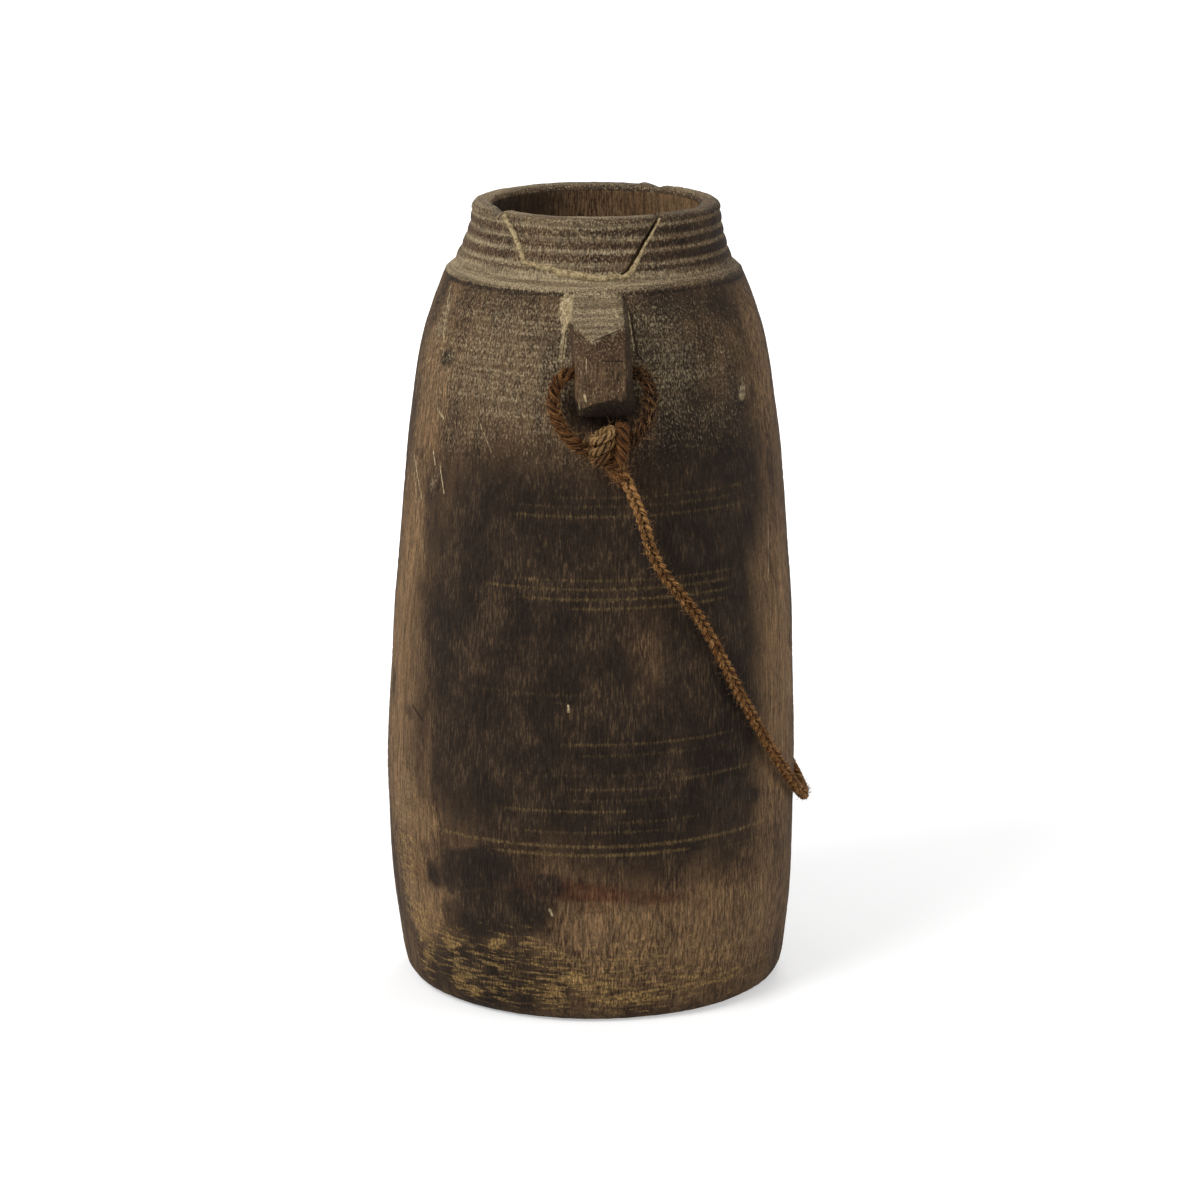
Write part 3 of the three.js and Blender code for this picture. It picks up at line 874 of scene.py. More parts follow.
def kerf(p):
    """Half the width of the saw-cut, which is wider on the right arm."""
    return (KERF_LEFT + ramp(p.x, RIGHT_ARM, 18) * (KERF_RIGHT - KERF_LEFT)) / 2


def round_pot(flat, radius):
    """A point laid out flat, wrapped round the pot's axis at a radius in mm."""
    angle = flat.x / NECK_RADIUS
    return Vector((radius * math.sin(angle), -radius * math.cos(angle), flat.y)) * MM


def bent_saw(line):
    """A closed strip along the line, from inside the pot's wall to well outside it."""
    bm = bmesh.new()
    loop = beside(line, kerf) + beside(line, lambda p: -kerf(p))[::-1]
    rim = [bm.verts.new(round_pot(p, SAW_INSIDE)) for p in loop]
    strips = []
    for i in range(len(loop) // 2 - 1):
        strips.append(bm.faces.new((rim[i], rim[i + 1], rim[-2 - i], rim[-1 - i])))
    outer = bmesh.ops.extrude_face_region(bm, geom=strips)
    for v in [g for g in outer["geom"] if isinstance(g, bmesh.types.BMVert)]:
        v.co.x *= 2
        v.co.y *= 2
    return object_from(bm, "saw")


break_line = torn_line()
combine(pot, bent_saw(break_line), "DIFFERENCE")
print("sawn pot:", len(pot.data.polygons), "faces")

# %% [markdown]
# The sawn pot is still one object, so its two bodies are parted here. The refitted
# piece was pressed back a little too low, and it leans in towards the mouth.

# %% The refitted piece
SHERD_POINTS = range(401, 20000)  # fewer is a crumb of the cut, and more is the vessel
SHERD_LOW = 0.5  # mm at its upper edge
SHERD_IN = 0.35


def loose_bodies(bm):
    """The points of a mesh, as one set for each body that holds together."""
    left, bodies = set(bm.verts), []
    while left:
        body, edge = set(), [left.pop()]
        while edge:
            v = edge.pop()
            body.add(v)
            for e in v.link_edges:
                other = e.other_vert(v)
                if other in left:
                    left.discard(other)
                    edge.append(other)
        bodies.append(body)
    return bodies


def split_off(whole, name, sizes):
    """Moves the bodies with so many points to an object of their own, and drops crumbs."""
    bm = bmesh.new()
    bm.from_mesh(whole.data)
    bodies = loose_bodies(bm)
    taken = {v.index for body in bodies if len(body) in sizes for v in body}
    largest = {v.index for v in max(bodies, key=len)}
    part = bm.copy()
    part.verts.index_update()
    for mesh, numbers in ((part, taken), (bm, largest)):
        others = [v for v in mesh.verts if v.index not in numbers]
        bmesh.ops.delete(mesh, geom=others, context="VERTS")
    bm.to_mesh(whole.data)
    bm.free()
    return object_from(part, name)


sherd = split_off(pot, "refitted_rim_piece", SHERD_POINTS)
for v in sherd.data.vertices:
    rise = (v.co.z / MM - 340) / 26
    v.co.z -= SHERD_LOW * rise * MM
    v.co.y += SHERD_IN * rise * MM
print("vessel", len(pot.data.polygons), "faces, refitted piece", len(sherd.data.polygons))

# %% [markdown]
# The paste in the crack is a lumpy bead. On the left it fills the crack and is
# smeared a little over both edges. On the right much of it has fallen out, and a thin
# crust is left along the far wall. It is rolled as a tube along the break, and a second
# one, dark brown with painted shade, lies deeper and keeps light from passing through the wall.

# %% Paste in the crack
PASTE_ASIDE = 1.1  # how far the crust keeps to the far wall, on the right arm
DEEP_PASTE = 4.2  # how deep the brown bead lies
DEEP_RADIUS = 2.1


def paste_line(depth, aside):
    """The bead's line: how deep it lies, and how far it keeps right on the right arm."""
    bead = []
    for p in beside(break_line, lambda q: 0.0 if q.x < RIGHT_ARM else -aside):
        if p.y > RIM_TOP - 1.2 - 0.3 * depth:
            continue
        sunk = depth + 0.7 * ramp(p.x, 14, 21)
        bead.append(round_pot(p, outside_radius(p.y) - GROOVE_DEPTH * 0.5 - sunk))
    return even_steps(bead, 0.5)


def paste_thickness(share):
    """Half the bead's thickness, at a share of its way from left to right."""
    lump = noise.noise(Vector((share * 70, 2, 5)))
    lump += 0.6 * noise.noise(Vector((share * 190, 7, 1)))
    smear = 0.5 * bump(share, 0.48, 0.2)
    return (1.25 + 0.45 * lump + smear - 0.5 * ramp(share, 0.74, 0.84)) * MM


bm = bmesh.new()
roll_tube(bm, paste_line(0.2, PASTE_ASIDE), paste_thickness, sides=12)
# the deep bead is marked all over for painted shade
roll_tube(bm, paste_line(DEEP_PASTE, 0), DEEP_RADIUS * MM, sides=12, wear_and_shade=1.0)
for v in bm.verts:
    v.co += Vector((v.co.x, v.co.y, 0)).normalized() * 0.35 * noise.noise(v.co * 700) * MM
paste = object_from(bm, "sandy_paste")
print("paste bead", len(paste.data.polygons), "faces")

# %% [markdown]
# Now the marks of use, with a few spots of painted light and shade among them. They
# are written down as soft spots in the pot's own measure: angle from the front, height, half
# width in degrees, half height in millimetres, and how strongly they cover. A negative strength
# rubs a mark thinner.
# The seen half follows the photograph, and the back carries the same kinds of mark.

# %% Marks of use
MARKS = {
    # black from the hearth
    "smoke": [
        (-30, 186, 27, 72, 1.15), (-12, 150, 44, 60, 1.15), (12, 122, 34, 44, 1.15),
        (33, 190, 14, 66, 1.2), (8, 222, 38, 26, 0.8), (-20, 235, 34, 26, 0.85),
        (30, 262, 26, 20, 0.5), (-38, 72, 11, 8, 1.5), (-32, 51, 16, 11, 1.25),
        (-17, 66, 4, 4, 1.3), (-46, 65, 3.5, 4, 1.3), (-53, 65, 3, 5, 0.8),
        (-37, 20, 22, 17, 0.85), (45, 99.5, 5, 3.4, 1.4), (-61.6, 302.5, 3, 4, 0.95),
        (33, 286, 5, 5, 0.7), (49, 277, 4, 3, 0.8), (32, 327, 24, 6, 0.6),
        (-66, 133, 5, 5, 0.6), (22, 158, 7, 5, 0.6), (26, 82, 3.5, 2.4, 1.1),
        (-80, 140, 3, 9, 0.7), (75, 165.5, 1.2, 4, 1.6), (60, 205, 1.2, 24, 0.5),
        (148, 190, 34, 76, 0.85), (-140, 120, 24, 56, 0.8), (178, 55, 30, 18, 0.7),
        (108, 262, 12, 18, 0.5), (-168, 300, 20, 20, 0.5), (95, 60, 14, 18, 0.5),
        # (1, 282) is painted shadow under the front lug, drawn with the smoke layer
        (10, 174, 7, 20, -0.68), (1, 282, 12, 9, 0.9), (-54, 125, 3, 40, -0.35),
        (8, 92, 26, 5, -0.2), (22, 296, 10, 30, 0.85), (28, 270, 13, 18, 0.85),
        (38, 248, 20, 44, 0.85), (33, 150, 19, 66, 0.95),
    ],
    # thick soot where the smoke clung longest
    "soot": [(37, 136, 11, 24, 1.0), (34, 262, 12, 16, 0.6)],
    # worn back to paler wood
    "bare": [
        (-73, 165, 15, 92, 1.0), (-62, 42, 9, 15, 1.3), (-50, 60, 5, 5, 1.1),
        (-60, 86, 9, 12, 1.0), (62, 150, 17, 82, 0.85), (26, 45, 52, 30, 0.75),
        # (-66, 285) and (68, 296) are pale wood and also painted light along the upper left and
        # right edges
        (10, 174, 7, 20, 0.48), (-66, 285, 14, 42, 0.8), (-2, 48, 10, 14, 0.9),
        (68, 296, 9, 42, 0.7), (-64, 56, 9, 26, 1.0),
        (-66, 335, 5, 20, 0.7), (0, 78, 30, 10, 0.5), (-68, 95, 9, 15, 1.25),
        (112, 120, 20, 84, 0.8), (-108, 190, 16, 90, 0.8), (172, 250, 26, 34, 0.5),
        (-150, 40, 26, 26, 0.7),
    ],
    # rusty brown stain
    "rust": [
        (-6, 64, 20, 4.6, 1.1), (10, 76, 9, 4, 0.6), (-65, 64, 9, 6, 0.7), (12, 62, 14, 3.8, 0.9),
        (-3, 57, 6, 2.4, 0.7), (28, 57, 3, 2, 0.7), (-56, 305, 16, 24, 0.45),
        (-70, 345, 14, 12, 0.5), (-30, 150, 20, 40, 0.35), (0, 110, 30, 40, 0.3),
        (8, 150, 12, 28, 0.4), (160, 80, 18, 5, 0.9), (-120, 290, 16, 20, 0.5),
    ],
    # powdery grey dust on the shoulder
    "dust": [
        (-8, 302, 74, 36, 0.68), (-13.6, 325, 2.2, 7, 1.0), (-68, 318, 4, 12, 0.7),
        (-8, 266, 13, 9, 0.45), (-48, 272, 12, 14, 0.5), (51, 284, 2.2, 5, 1.4),
        (-58, 247, 1.2, 8, 0.7), (-71, 240, 1.0, 14, 0.7), (180, 302, 90, 36, 0.6),
        # (1, 282) clears the dust from the painted shadow under the lug
        (44, 310, 24, 30, -0.12), (33, 286, 5, 5, -0.3), (1, 282, 12, 9, -0.5),
        (-70, 54, 9, 34, 0.35), (-68, 94, 9, 14, 0.45),
    ],
    # pale scuffs near the foot
    "scuff": [
        (-48, 33, 4.5, 4, 1.25), (-32, 35, 3.5, 4, 1.15), (-18, 36, 6, 3, 1.0),
        (-43, 13, 5, 7, 1.05), (-6, 22, 13, 7, 1.05), (8, 13, 15, 4, 1.1),
        (-17, 12, 8, 6, 0.95), (30, 15, 22, 6, 0.8), (-62, 30, 8, 22, 0.9), (-69, 60, 8, 28, 0.8),
        (8, 24, 46, 20, 0.68), (-38, 24, 28, 18, 0.68), (-10, 34, 8, 4, 0.9),
        (150, 22, 34, 12, 0.7), (-120, 26, 28, 14, 0.7), (95, 20, 20, 10, 0.5),
    ],
}
print("soft spots:", sum(len(spots) for spots in MARKS.values()))

# %% [markdown]
# Besides the spots there are marks that follow the form. The neck has dust in its
# grooves and smoke on its crests, the smoke partly painted shade of the bands. Each facet
# of a lug has its own wear, with painted shade on its underside and right corner, and the
# scribed lines hold pale dust or soot.

# %% Marks that follow the form
BACK_FROM = 85  # degrees from the front, where the photograph sees no more
INSIDE_FROM = 4.5  # mm behind the outer skin
INSIDE_TOP = 363
NECK_FROM = 334.2
# the points of a lug lie so far out of the wall, so near its middle and so high, in mm
LUG_OUT = 1.2
LUG_HALF = 19
LUG_LOW = 278


def covered(spots, angle, height):
    """How strongly the soft-edged spots cover a place: 0 not at all, 1 fully."""
    most, least = 0, 0
    for middle, level, wide, tall, strength in spots:
        across = abs(turn_between(angle, middle)) / wide
        up = abs(height - level) / tall
        if across < 1.5 and up < 1.5:
            off = (across**3 + up**3) ** (1 / 3)
            amount = strength * ramp(off, 1.5, 0.5)
            most, least = max(most, amount), min(least, amount)
    return most + least


def neck_marks(angle, z):
    """Dust lies in the grooves and the cove, and smoke on the crests between them, which is partly
    painted shade of the bands.
    """
    right = ramp(angle, -10, 50)
    right += (0.5 - right) * ramp(abs(angle), 80, 150)
    groove = in_groove(z)
    cove = bump(z, 338.2, 6)
    lip = bump(z, 367, 5)
    dust = 0.5 + 0.54 * groove - 0.34 * right + (1.0 - 0.4 * right) * cove + 0.5 * lip
    # smoke on the crests, partly painted shade of the bands
    smoke = (0.28 + 0.68 * right) * (1 - groove) * (1 - cove) * (1 - 0.8 * lip)
    return {"dust": dust, "smoke": smoke, "bare": 0.3, "rust": 0.55 * bump(z, 350, 14)}


def inside_marks(right, angle, depth):
    """Inside, painted shade darkens the left wall and painted light pales the right one, through
    the smoke and bare layers.
    """
    return {
        "inside": ramp(depth, INSIDE_FROM, 7.5),
        # painted light on the right wall and painted shade on the left
        "bare": 0.42 + 0.5 * min(1, max(-0.6, right / 30)),
        "smoke": 0.25 - 0.4 * min(0, right / 30),
        "rust": 0.5 * bump(angle, 150, 26),
    }


def edge_of(row, right):
    """Height of one of the lug's edges, at a distance right of its middle line."""
    for (x0, _, z0), (x1, _, z1) in zip(row, row[1:]):
        if right <= x1:
            return z0 + (z1 - z0) * max(0, right - x0) / (x1 - x0)
    return row[-1][2]


def lug_marks(right, z):
    """Dust on top, bare reddish wood in front, and painted shade below and on the right corner,
    drawn with the smoke layer.
    """
    if z > edge_of(LUG_ROWS[1], right) - 0.2:
        marks = {"dust": 0.95, "smoke": 0.1}
    elif z > edge_of(LUG_ROWS[2], right):
        marks = {"rust": 0.5, "bare": 0.4, "dust": 0.42, "smoke": 0.3}
    elif z > edge_of(LUG_ROWS[3], right) - 0.3:
        marks = {"bare": 0.4, "rust": 0.35, "dust": 0.4, "smoke": 0.2}
    else:
        # painted shade on the underside
        marks = {"smoke": 0.9, "bare": 0.4}
    # painted shade on the right corner: more of the smoke layer, half the dust
    if right > 8.6:
        marks["smoke"] = max(marks["smoke"], 0.7)
        marks["dust"] = 0.5 * marks.get("dust", 0)
    if right < -9 and 300 < z < 323:
        marks["rust"] = 0.55
    return marks


def scribed_marks(marks, angle, z, wander):
    """Adds the scribed lines that run past a place to its marks."""
    for level, low, high, strength in SCRIBED:
        near = abs(z - level)
        if near < SCRIBE_REACH:
            seen = abs(angle) < BACK_FROM
            full = shown(angle, low, high) if seen else 0.5 + noise.noise(wander * 40)
            kind = "scribe" if strength > 0 else "smoke"
            amount = abs(strength) * full * (1 - near / SCRIBE_REACH)
            marks[kind] = max(marks.get(kind, 0), amount)


dust_on_neck = [round(neck_marks(angle, 350)["dust"], 2) for angle in (-60, 60)]
print("dust on the neck, left and right:", dust_on_neck)

# %% [markdown]
# The marks are now written on every point. The place is read a few millimetres off,
# by a soft noise, so that no spot keeps a clean round edge.

# %% Marks written on the points


def marks_at(co):
    """Every mark at a point of the pot, by name."""
    angle, z, r = place_on_pot(co)
    depth = outside_radius(z) - r
    wander = Vector((co.x, co.y, co.z * 0.7))
    if depth > INSIDE_FROM and z < INSIDE_TOP:
        return inside_marks(co.x / MM, angle, depth)
    a = angle + 5 * noise.noise(wander * 45) + 2 * noise.noise(wander * 150)
    h = z + 5 * noise.noise(wander * 38 + Vector((9, 0, 0))) + 2 * noise.noise(wander * 140)
    marks = {name: covered(spots, a, h) for name, spots in MARKS.items()}
    if z > NECK_FROM:
        marks.update(neck_marks(angle, z))
    elif depth < -LUG_OUT and abs(co.x) < LUG_HALF * MM and z > LUG_LOW:
        right = math.copysign(1, -co.y) * co.x / MM
        marks = lug_marks(right, z + 1.3 * noise.noise(wander * 240))
    if depth < 2:
        scribed_marks(marks, angle, z, wander)
    return marks


def paint(made):
    """Writes the marks on every point of a piece, to be read by the material."""
    names = ("inside", *MARKS, "scribe")
    amounts = {name: [0.0] * len(made.data.vertices) for name in names}
    for i, v in enumerate(made.data.vertices):
        for name, amount in marks_at(v.co).items():
            amounts[name][i] = amount
    for name in names:
        layer = made.data.attributes.new(name, "FLOAT", "POINT")
        layer.data.foreach_set("value", amounts[name])


paint(pot)
paint(sherd)
print("marks painted:", ", ".join(MARKS))

# %% [markdown]
# Materials. The colours are written as on a paint chart and turned into the linear
# numbers that Blender works with. One small helper adds a node, sets it and links it.

# %% Material helpers
EVEN_MIX = (0.38, 0.62)  # levels of a noise between which two colours share evenly


def colour(text):
    """A paint-chart colour, #rrggbb, as linear red, green, blue and opacity."""
    parts = [int(text[i : i + 2], 16) / 255 for i in (1, 3, 5)]
    return [*(c / 12.92 if c <= 0.04045 else ((c + 0.055) / 1.055) ** 2.4 for c in parts), 1]


def add(tree, kind, inputs=None, **settings):
    """Adds a node and gives back its outputs.

    inputs gives each socket a value, or another node's output to read.
    """
    node = tree.nodes.new("ShaderNode" + kind)
    for name, value in settings.items():
        setattr(node, name, value)
    for socket, value in (inputs or {}).items():
        if isinstance(value, bpy.types.NodeSocket):
            tree.links.new(value, node.inputs[socket])
        else:
            node.inputs[socket].default_value = value
    return node.outputs


def start_material(name, roughness, specular):
    """A material with a plain shader, its tree of nodes and the shader."""
    made = bpy.data.materials.new(name)
    made.use_nodes = True
    shader = made.node_tree.nodes["Principled BSDF"]
    shader.inputs["Roughness"].default_value = roughness
    shader.inputs["Specular IOR Level"].default_value = specular
    return made, made.node_tree, shader


def lay_over(tree, below, above, pattern, low, high, cover=1.0):
    """Covers one colour with another, wherever a pattern rises from low to high."""
    limits = {0: pattern, 1: low, 2: high, 4: cover}
    share = add(tree, "MapRange", limits, interpolation_type="SMOOTHSTEP")[0]
    return add(tree, "Mix", {0: share, 6: below, 7: colour(above)}, data_type="RGBA")[2]


def shade_by(tree, tone, pattern, low, high, darkest, palest):
    """Darkens and lightens a colour as a pattern goes from low to high."""
    light = add(tree, "MapRange", {0: pattern, 1: low, 2: high, 3: darkest, 4: palest})[0]
    settings = {"data_type": "RGBA", "blend_type": "MULTIPLY"}
    return add(tree, "Mix", {0: 1.0, 6: tone, 7: light}, **settings)[2]


def dress(tree, shader, tone, height, depth, strength):
    """Gives a surface its colour, and a relief of so many mm from a pattern."""
    tree.links.new(tone, shader.inputs["Base Color"])
    relief = {"Height": height, "Distance": depth * MM, "Strength": strength}
    tree.links.new(add(tree, "Bump", relief)[0], shader.inputs["Normal"])


print("half grey is", round(colour("#808080")[0], 3))

# %% [markdown]
# The wood is dense and dark, with grain that runs up the block it was turned from.
# In solid wood a pattern is a matter of place, so it reads the piece's own position:
# stretched upwards it is grain and pores, stretched sideways it is the turner's lines,
# and even all ways it is powder and grit. Sizes are in millimetres, so they stay right
# at any scale. The marks painted above decide where each layer shows through.

# %% Patterns and layers of the wood
# name: size across and size up, in mm. Real pores are a few tenths of a millimetre
# wide, so fibre and grit are drawn at most of a millimetre to show at all.
PATTERNS = {
    "figure": (13, 120),
    "grain": (2.2, 30),
    "fibre": (0.8, 6),
    "grit": (0.7, 1.4),
    "turning": (46, 1.7),
    "dashes": (9, 1.5),
    "cloud": (17, 22),
}
# mark, its two colours and the pattern that mixes them, the pattern that tears its
# edge and how far, the levels of its edge, and how well it covers
WOOD_LAYERS = [
    ("inside", "#4a3625", "#715940", "fibre", "fibre", 0.3, 0.2, 0.8, 0.95),
    ("bare", "#665039", "#86694a", "grain", "fibre", 1.3, 0.3, 0.95, 0.9),
    ("rust", "#351a10", "#502d1e", "cloud", "fibre", 0.9, 0.2, 1.1, 0.72),
    ("smoke", "#211913", "#32271e", "cloud", "fibre", 0.9, 0.1, 0.8, 0.93),
    ("soot", "#17110c", "#251b14", "cloud", "fibre", 0.9, 0.1, 0.8, 0.62),
    ("scuff", "#6b5534", "#9f8050", "grit", "dashes", 3.2, 0.55, 1.25, 0.75),
    ("dust", "#746650", "#a09072", "turning", "grit", 2.0, 0.35, 1.15, 0.8),
    ("scribe", "#5f4c31", "#806a44", "grit", "fibre", 1.4, 0.1, 1.1, 0.38),
    # the scratch layer also draws a painted highlight on the lug, and the crack layer painted
    # shade along its V edge
    ("scratch", "#968361", "#b8a683", "grit", "fibre", 0.7, 0.2, 0.75, 0.85),
    ("crack", "#17110c", "#241a12", "grit", "fibre", 0.7, 0.2, 0.7, 0.85),
]
print("patterns:", ", ".join(PATTERNS))

# %% [markdown]
# Scratches, chips, cracks, a painted highlight and lines of painted shade are too narrow
# to paint on the points. Each is a straight stroke on the side laid out flat, and the
# material itself works out how far away the nearest one is.

# %% Scratches, cracks, a painted highlight and painted shade lines
UNROLL = 80.0  # radius in mm at which the side is laid out flat
# start and end as angle from the front and height, half width in mm, and how strongly
# they show
PALE_STROKES = [
    (-71.5, 330, -64, 307, 1.5, 0.62), (-75.3, 252.5, -66.2, 234.5, 0.9, 0.75),
    (-56.7, 251.7, -53.8, 240.6, 0.8, 0.9), (-61.3, 257.3, -59.5, 252, 0.7, 0.9),
    (-61.4, 276.8, -57.7, 273.6, 1.3, 0.8), (-41.8, 276.9, -35.6, 262.8, 0.7, 0.6),
    (-77.5, 256, -61.7, 207.6, 0.6, 0.5), (60.6, 229, 58.1, 197.5, 0.6, 0.7),
    (-12.9, 330.0, -13.2, 324, 5.4, 1.2), (-13.3, 324, -13.7, 306, 2.2, 1.0),
    (9.2, 325.7, 10.1, 309.5, 0.5, 0.9), (-15.4, 56, -14.9, 53.2, 0.9, 1.1),
    # (-5.1, 309.4) is a pale worn edge on the lug's left chamfer and also its painted highlight
    (-10.3, 151.3, -10.3, 148.5, 0.8, 1.2), (-5.1, 309.4, -5.3, 303, 0.5, 0.55),
    (-5.8, 293.4, -5.3, 290.8, 0.9, 0.9), (3.7, 326, 4.4, 325.4, 0.9, 1.0),
    (4.6, 320.9, 5, 320.7, 0.7, 1.0), (-7.2, 289, -7.1, 286, 0.5, 0.7),
]
DARK_STROKES = [
    (-60.9, 302.2, -60.9, 301.4, 2.4, 1.0), (-58, 195, -49.4, 156, 0.6, 0.7),
    (9.9, 325, 11.2, 307, 0.8, 1.0), (-63.8, 139.3, -58.2, 134.3, 1.3, 0.8),
    # (-6.6, 316.6) and (-3.4, 316.4) are painted shade along the V edge on the lug's top
    (-12.8, 318, -13.6, 306, 0.5, 0.9), (-6.6, 316.6, -11.5, 322, 0.5, 0.8),
    (-3.4, 316.4, 4.6, 321, 0.5, 0.8), (-1, 308.6, 4.2, 308.3, 0.7, 0.9),
    (61.5, 221, 59.6, 200, 0.4, 0.7), (60, 190, 57.5, 172, 0.5, 0.6),
    (35.9, 315.5, 36.8, 300, 0.5, 0.6),
]


def laid_flat(angle, height):
    """A place on the side as the material sees it, laid out flat, in metres."""
    return Vector((math.radians(angle) * UNROLL, height, 0)) * MM


def strokes(tree, flat, lines):
    """A pattern that is highest along the middle of each of some straight lines."""
    nearest = None
    for angle0, z0, angle1, z1, half, strength in lines:
        start = laid_flat(angle0, z0)
        run = laid_flat(angle1, z1) - start
        unit = run / run.length_squared
        off = add(tree, "VectorMath", {0: flat, 1: start}, operation="SUBTRACT")[0]
        share = add(tree, "VectorMath", {0: off, 1: unit}, operation="DOT_PRODUCT")["Value"]
        share = add(tree, "Math", {0: share, 1: 0.0}, operation="ADD", use_clamp=True)[0]
        onward = {0: share, 1: run, 2: start}
        on_line = add(tree, "VectorMath", onward, operation="MULTIPLY_ADD")[0]
        gap = add(tree, "VectorMath", {0: flat, 1: on_line}, operation="DISTANCE")["Value"]
        close = add(tree, "MapRange", {0: gap, 1: 0.0, 2: half * MM, 3: strength, 4: 0.0})[0]
        if nearest:
            close = add(tree, "Math", {0: nearest, 1: close}, operation="MAXIMUM")[0]
        nearest = close
    return nearest


print("strokes:", len(PALE_STROKES), "pale and", len(DARK_STROKES), "dark")

# %% [markdown]
# The bare wood comes first, with its grain. Then each mark lays its own two colours
# over what is below, with an edge that a finer pattern tears. Last, fibre and grit
# darken and lighten all of it, and the same patterns give the skin its fine relief.

# %% Aged hardwood
wood, tree, shader = start_material("aged dark hardwood", 0.85, 0.12)
place = add(tree, "TexCoord")["Object"]
axis = add(tree, "SeparateXYZ", {0: place})
front = add(tree, "Math", {0: axis["Y"], 1: -1.0}, operation="MULTIPLY")[0]
turned = add(tree, "Math", {0: axis["X"], 1: front}, operation="ARCTAN2")[0]
turned = add(tree, "Math", {0: turned, 1: UNROLL * MM}, operation="MULTIPLY")[0]
flat = add(tree, "CombineXYZ", {0: turned, 1: axis["Z"]})[0]
drawn = {"scratch": strokes(tree, flat, PALE_STROKES), "crack": strokes(tree, flat, DARK_STROKES)}
pattern = {}
for name, (across, up) in PATTERNS.items():
    scale = (1000 / across, 1000 / across, 1000 / up)
    stretched = add(tree, "Mapping", {"Vector": place, "Scale": scale})[0]
    grains = {"Vector": stretched, "Scale": 1, "Detail": 3, "Roughness": 0.6}
    pattern[name] = add(tree, "TexNoise", grains)[0]
tone = lay_over(tree, colour("#3c2d21"), "#5e4934", pattern["figure"], *EVEN_MIX)
tone = lay_over(tree, tone, "#261b13", pattern["grain"], 0.46, 0.66, 0.6)
for mark, dark, pale, mixed_by, torn_by, torn, low, high, cover in WOOD_LAYERS:
    painted = drawn.get(mark) or add(tree, "Attribute", attribute_name=mark)["Fac"]
    edge = {0: pattern[torn_by], 1: torn, 2: painted}
    ragged = add(tree, "Math", edge, operation="MULTIPLY_ADD")[0]
    limits = {0: ragged, 1: low + torn / 2, 2: high + torn / 2, 4: cover}
    share = add(tree, "MapRange", limits, interpolation_type="SMOOTHSTEP")[0]
    # the torn edge never reaches a place without any of the mark
    gate = add(tree, "Math", {0: painted, 1: 12.0}, operation="MULTIPLY", use_clamp=True)[0]
    share = add(tree, "Math", {0: share, 1: gate}, operation="MULTIPLY")[0]
    above = lay_over(tree, colour(dark), pale, pattern[mixed_by], *EVEN_MIX)
    tone = add(tree, "Mix", {0: share, 6: tone, 7: above}, data_type="RGBA")[2]
drift = {0: pattern["cloud"], 1: 0.5, 2: pattern["fibre"]}
drift = add(tree, "Math", drift, operation="MULTIPLY_ADD")[0]
tone = lay_over(tree, tone, "#7d6442", drift, 0.8, 0.95, 0.14)
tone = shade_by(tree, tone, pattern["fibre"], 0.36, 0.64, 0.62, 1.38)
tone = shade_by(tree, tone, pattern["grit"], 0.36, 0.64, 0.74, 1.26)
skin = add(tree, "Math", {0: pattern["fibre"], 1: pattern["grit"]}, operation="ADD")[0]
skin = {0: pattern["turning"], 1: 0.7, 2: skin}
skin = add(tree, "Math", skin, operation="MULTIPLY_ADD")[0]
dress(tree, shader, tone, skin, 0.6, 0.7)
print("wood layers:", len(WOOD_LAYERS), "nodes:", len(tree.nodes))

# %% [markdown]
# The paste is dried sand and glue, dull and gritty, with dark dirt in its low places.
# The deep bead carries a mark that turns it dark brown, as painted shade of the deep crack.

# %% Dried paste
crust, tree, shader = start_material("dried sandy paste", 0.95, 0.08)
place = add(tree, "TexCoord")["Object"]
grains = {"Vector": place, "Scale": 700, "Detail": 4, "Roughness": 0.7}
sand = add(tree, "TexNoise", grains)[0]
damp = add(tree, "TexNoise", {"Vector": place, "Scale": 190, "Detail": 2})[0]
tone = lay_over(tree, colour("#7b694b"), "#b5a27c", sand, *EVEN_MIX)
tone = lay_over(tree, tone, "#4d3e2a", damp, 0.56, 0.7, 0.6)
deep = add(tree, "Attribute", attribute_name="wear_and_shade")["Fac"]
# painted shade on the deep bead, where the mark is high
tone = lay_over(tree, tone, "#4a3826", deep, 0.2, 0.8, 0.85)
dress(tree, shader, tone, sand, 0.6, 0.9)
print("paste nodes:", len(tree.nodes))

# %% [markdown]
# Coir is the stiff brown fibre of coconut husk. Along a strand the fibres lie side
# by side, so the pattern is drawn on the strand's own map and stretched along it.
# Where hands rub it, the fibre bleaches to straw. The sling is palest near the knot
# and darkens towards the bottom, so that share is read from its height. In the knot
# the three short turns are the rubbed ones, and they carry a mark for it.

# %% Coir
FIBRE_LONG = 6  # mm along the strand
FIBRE_WIDE = 0.55


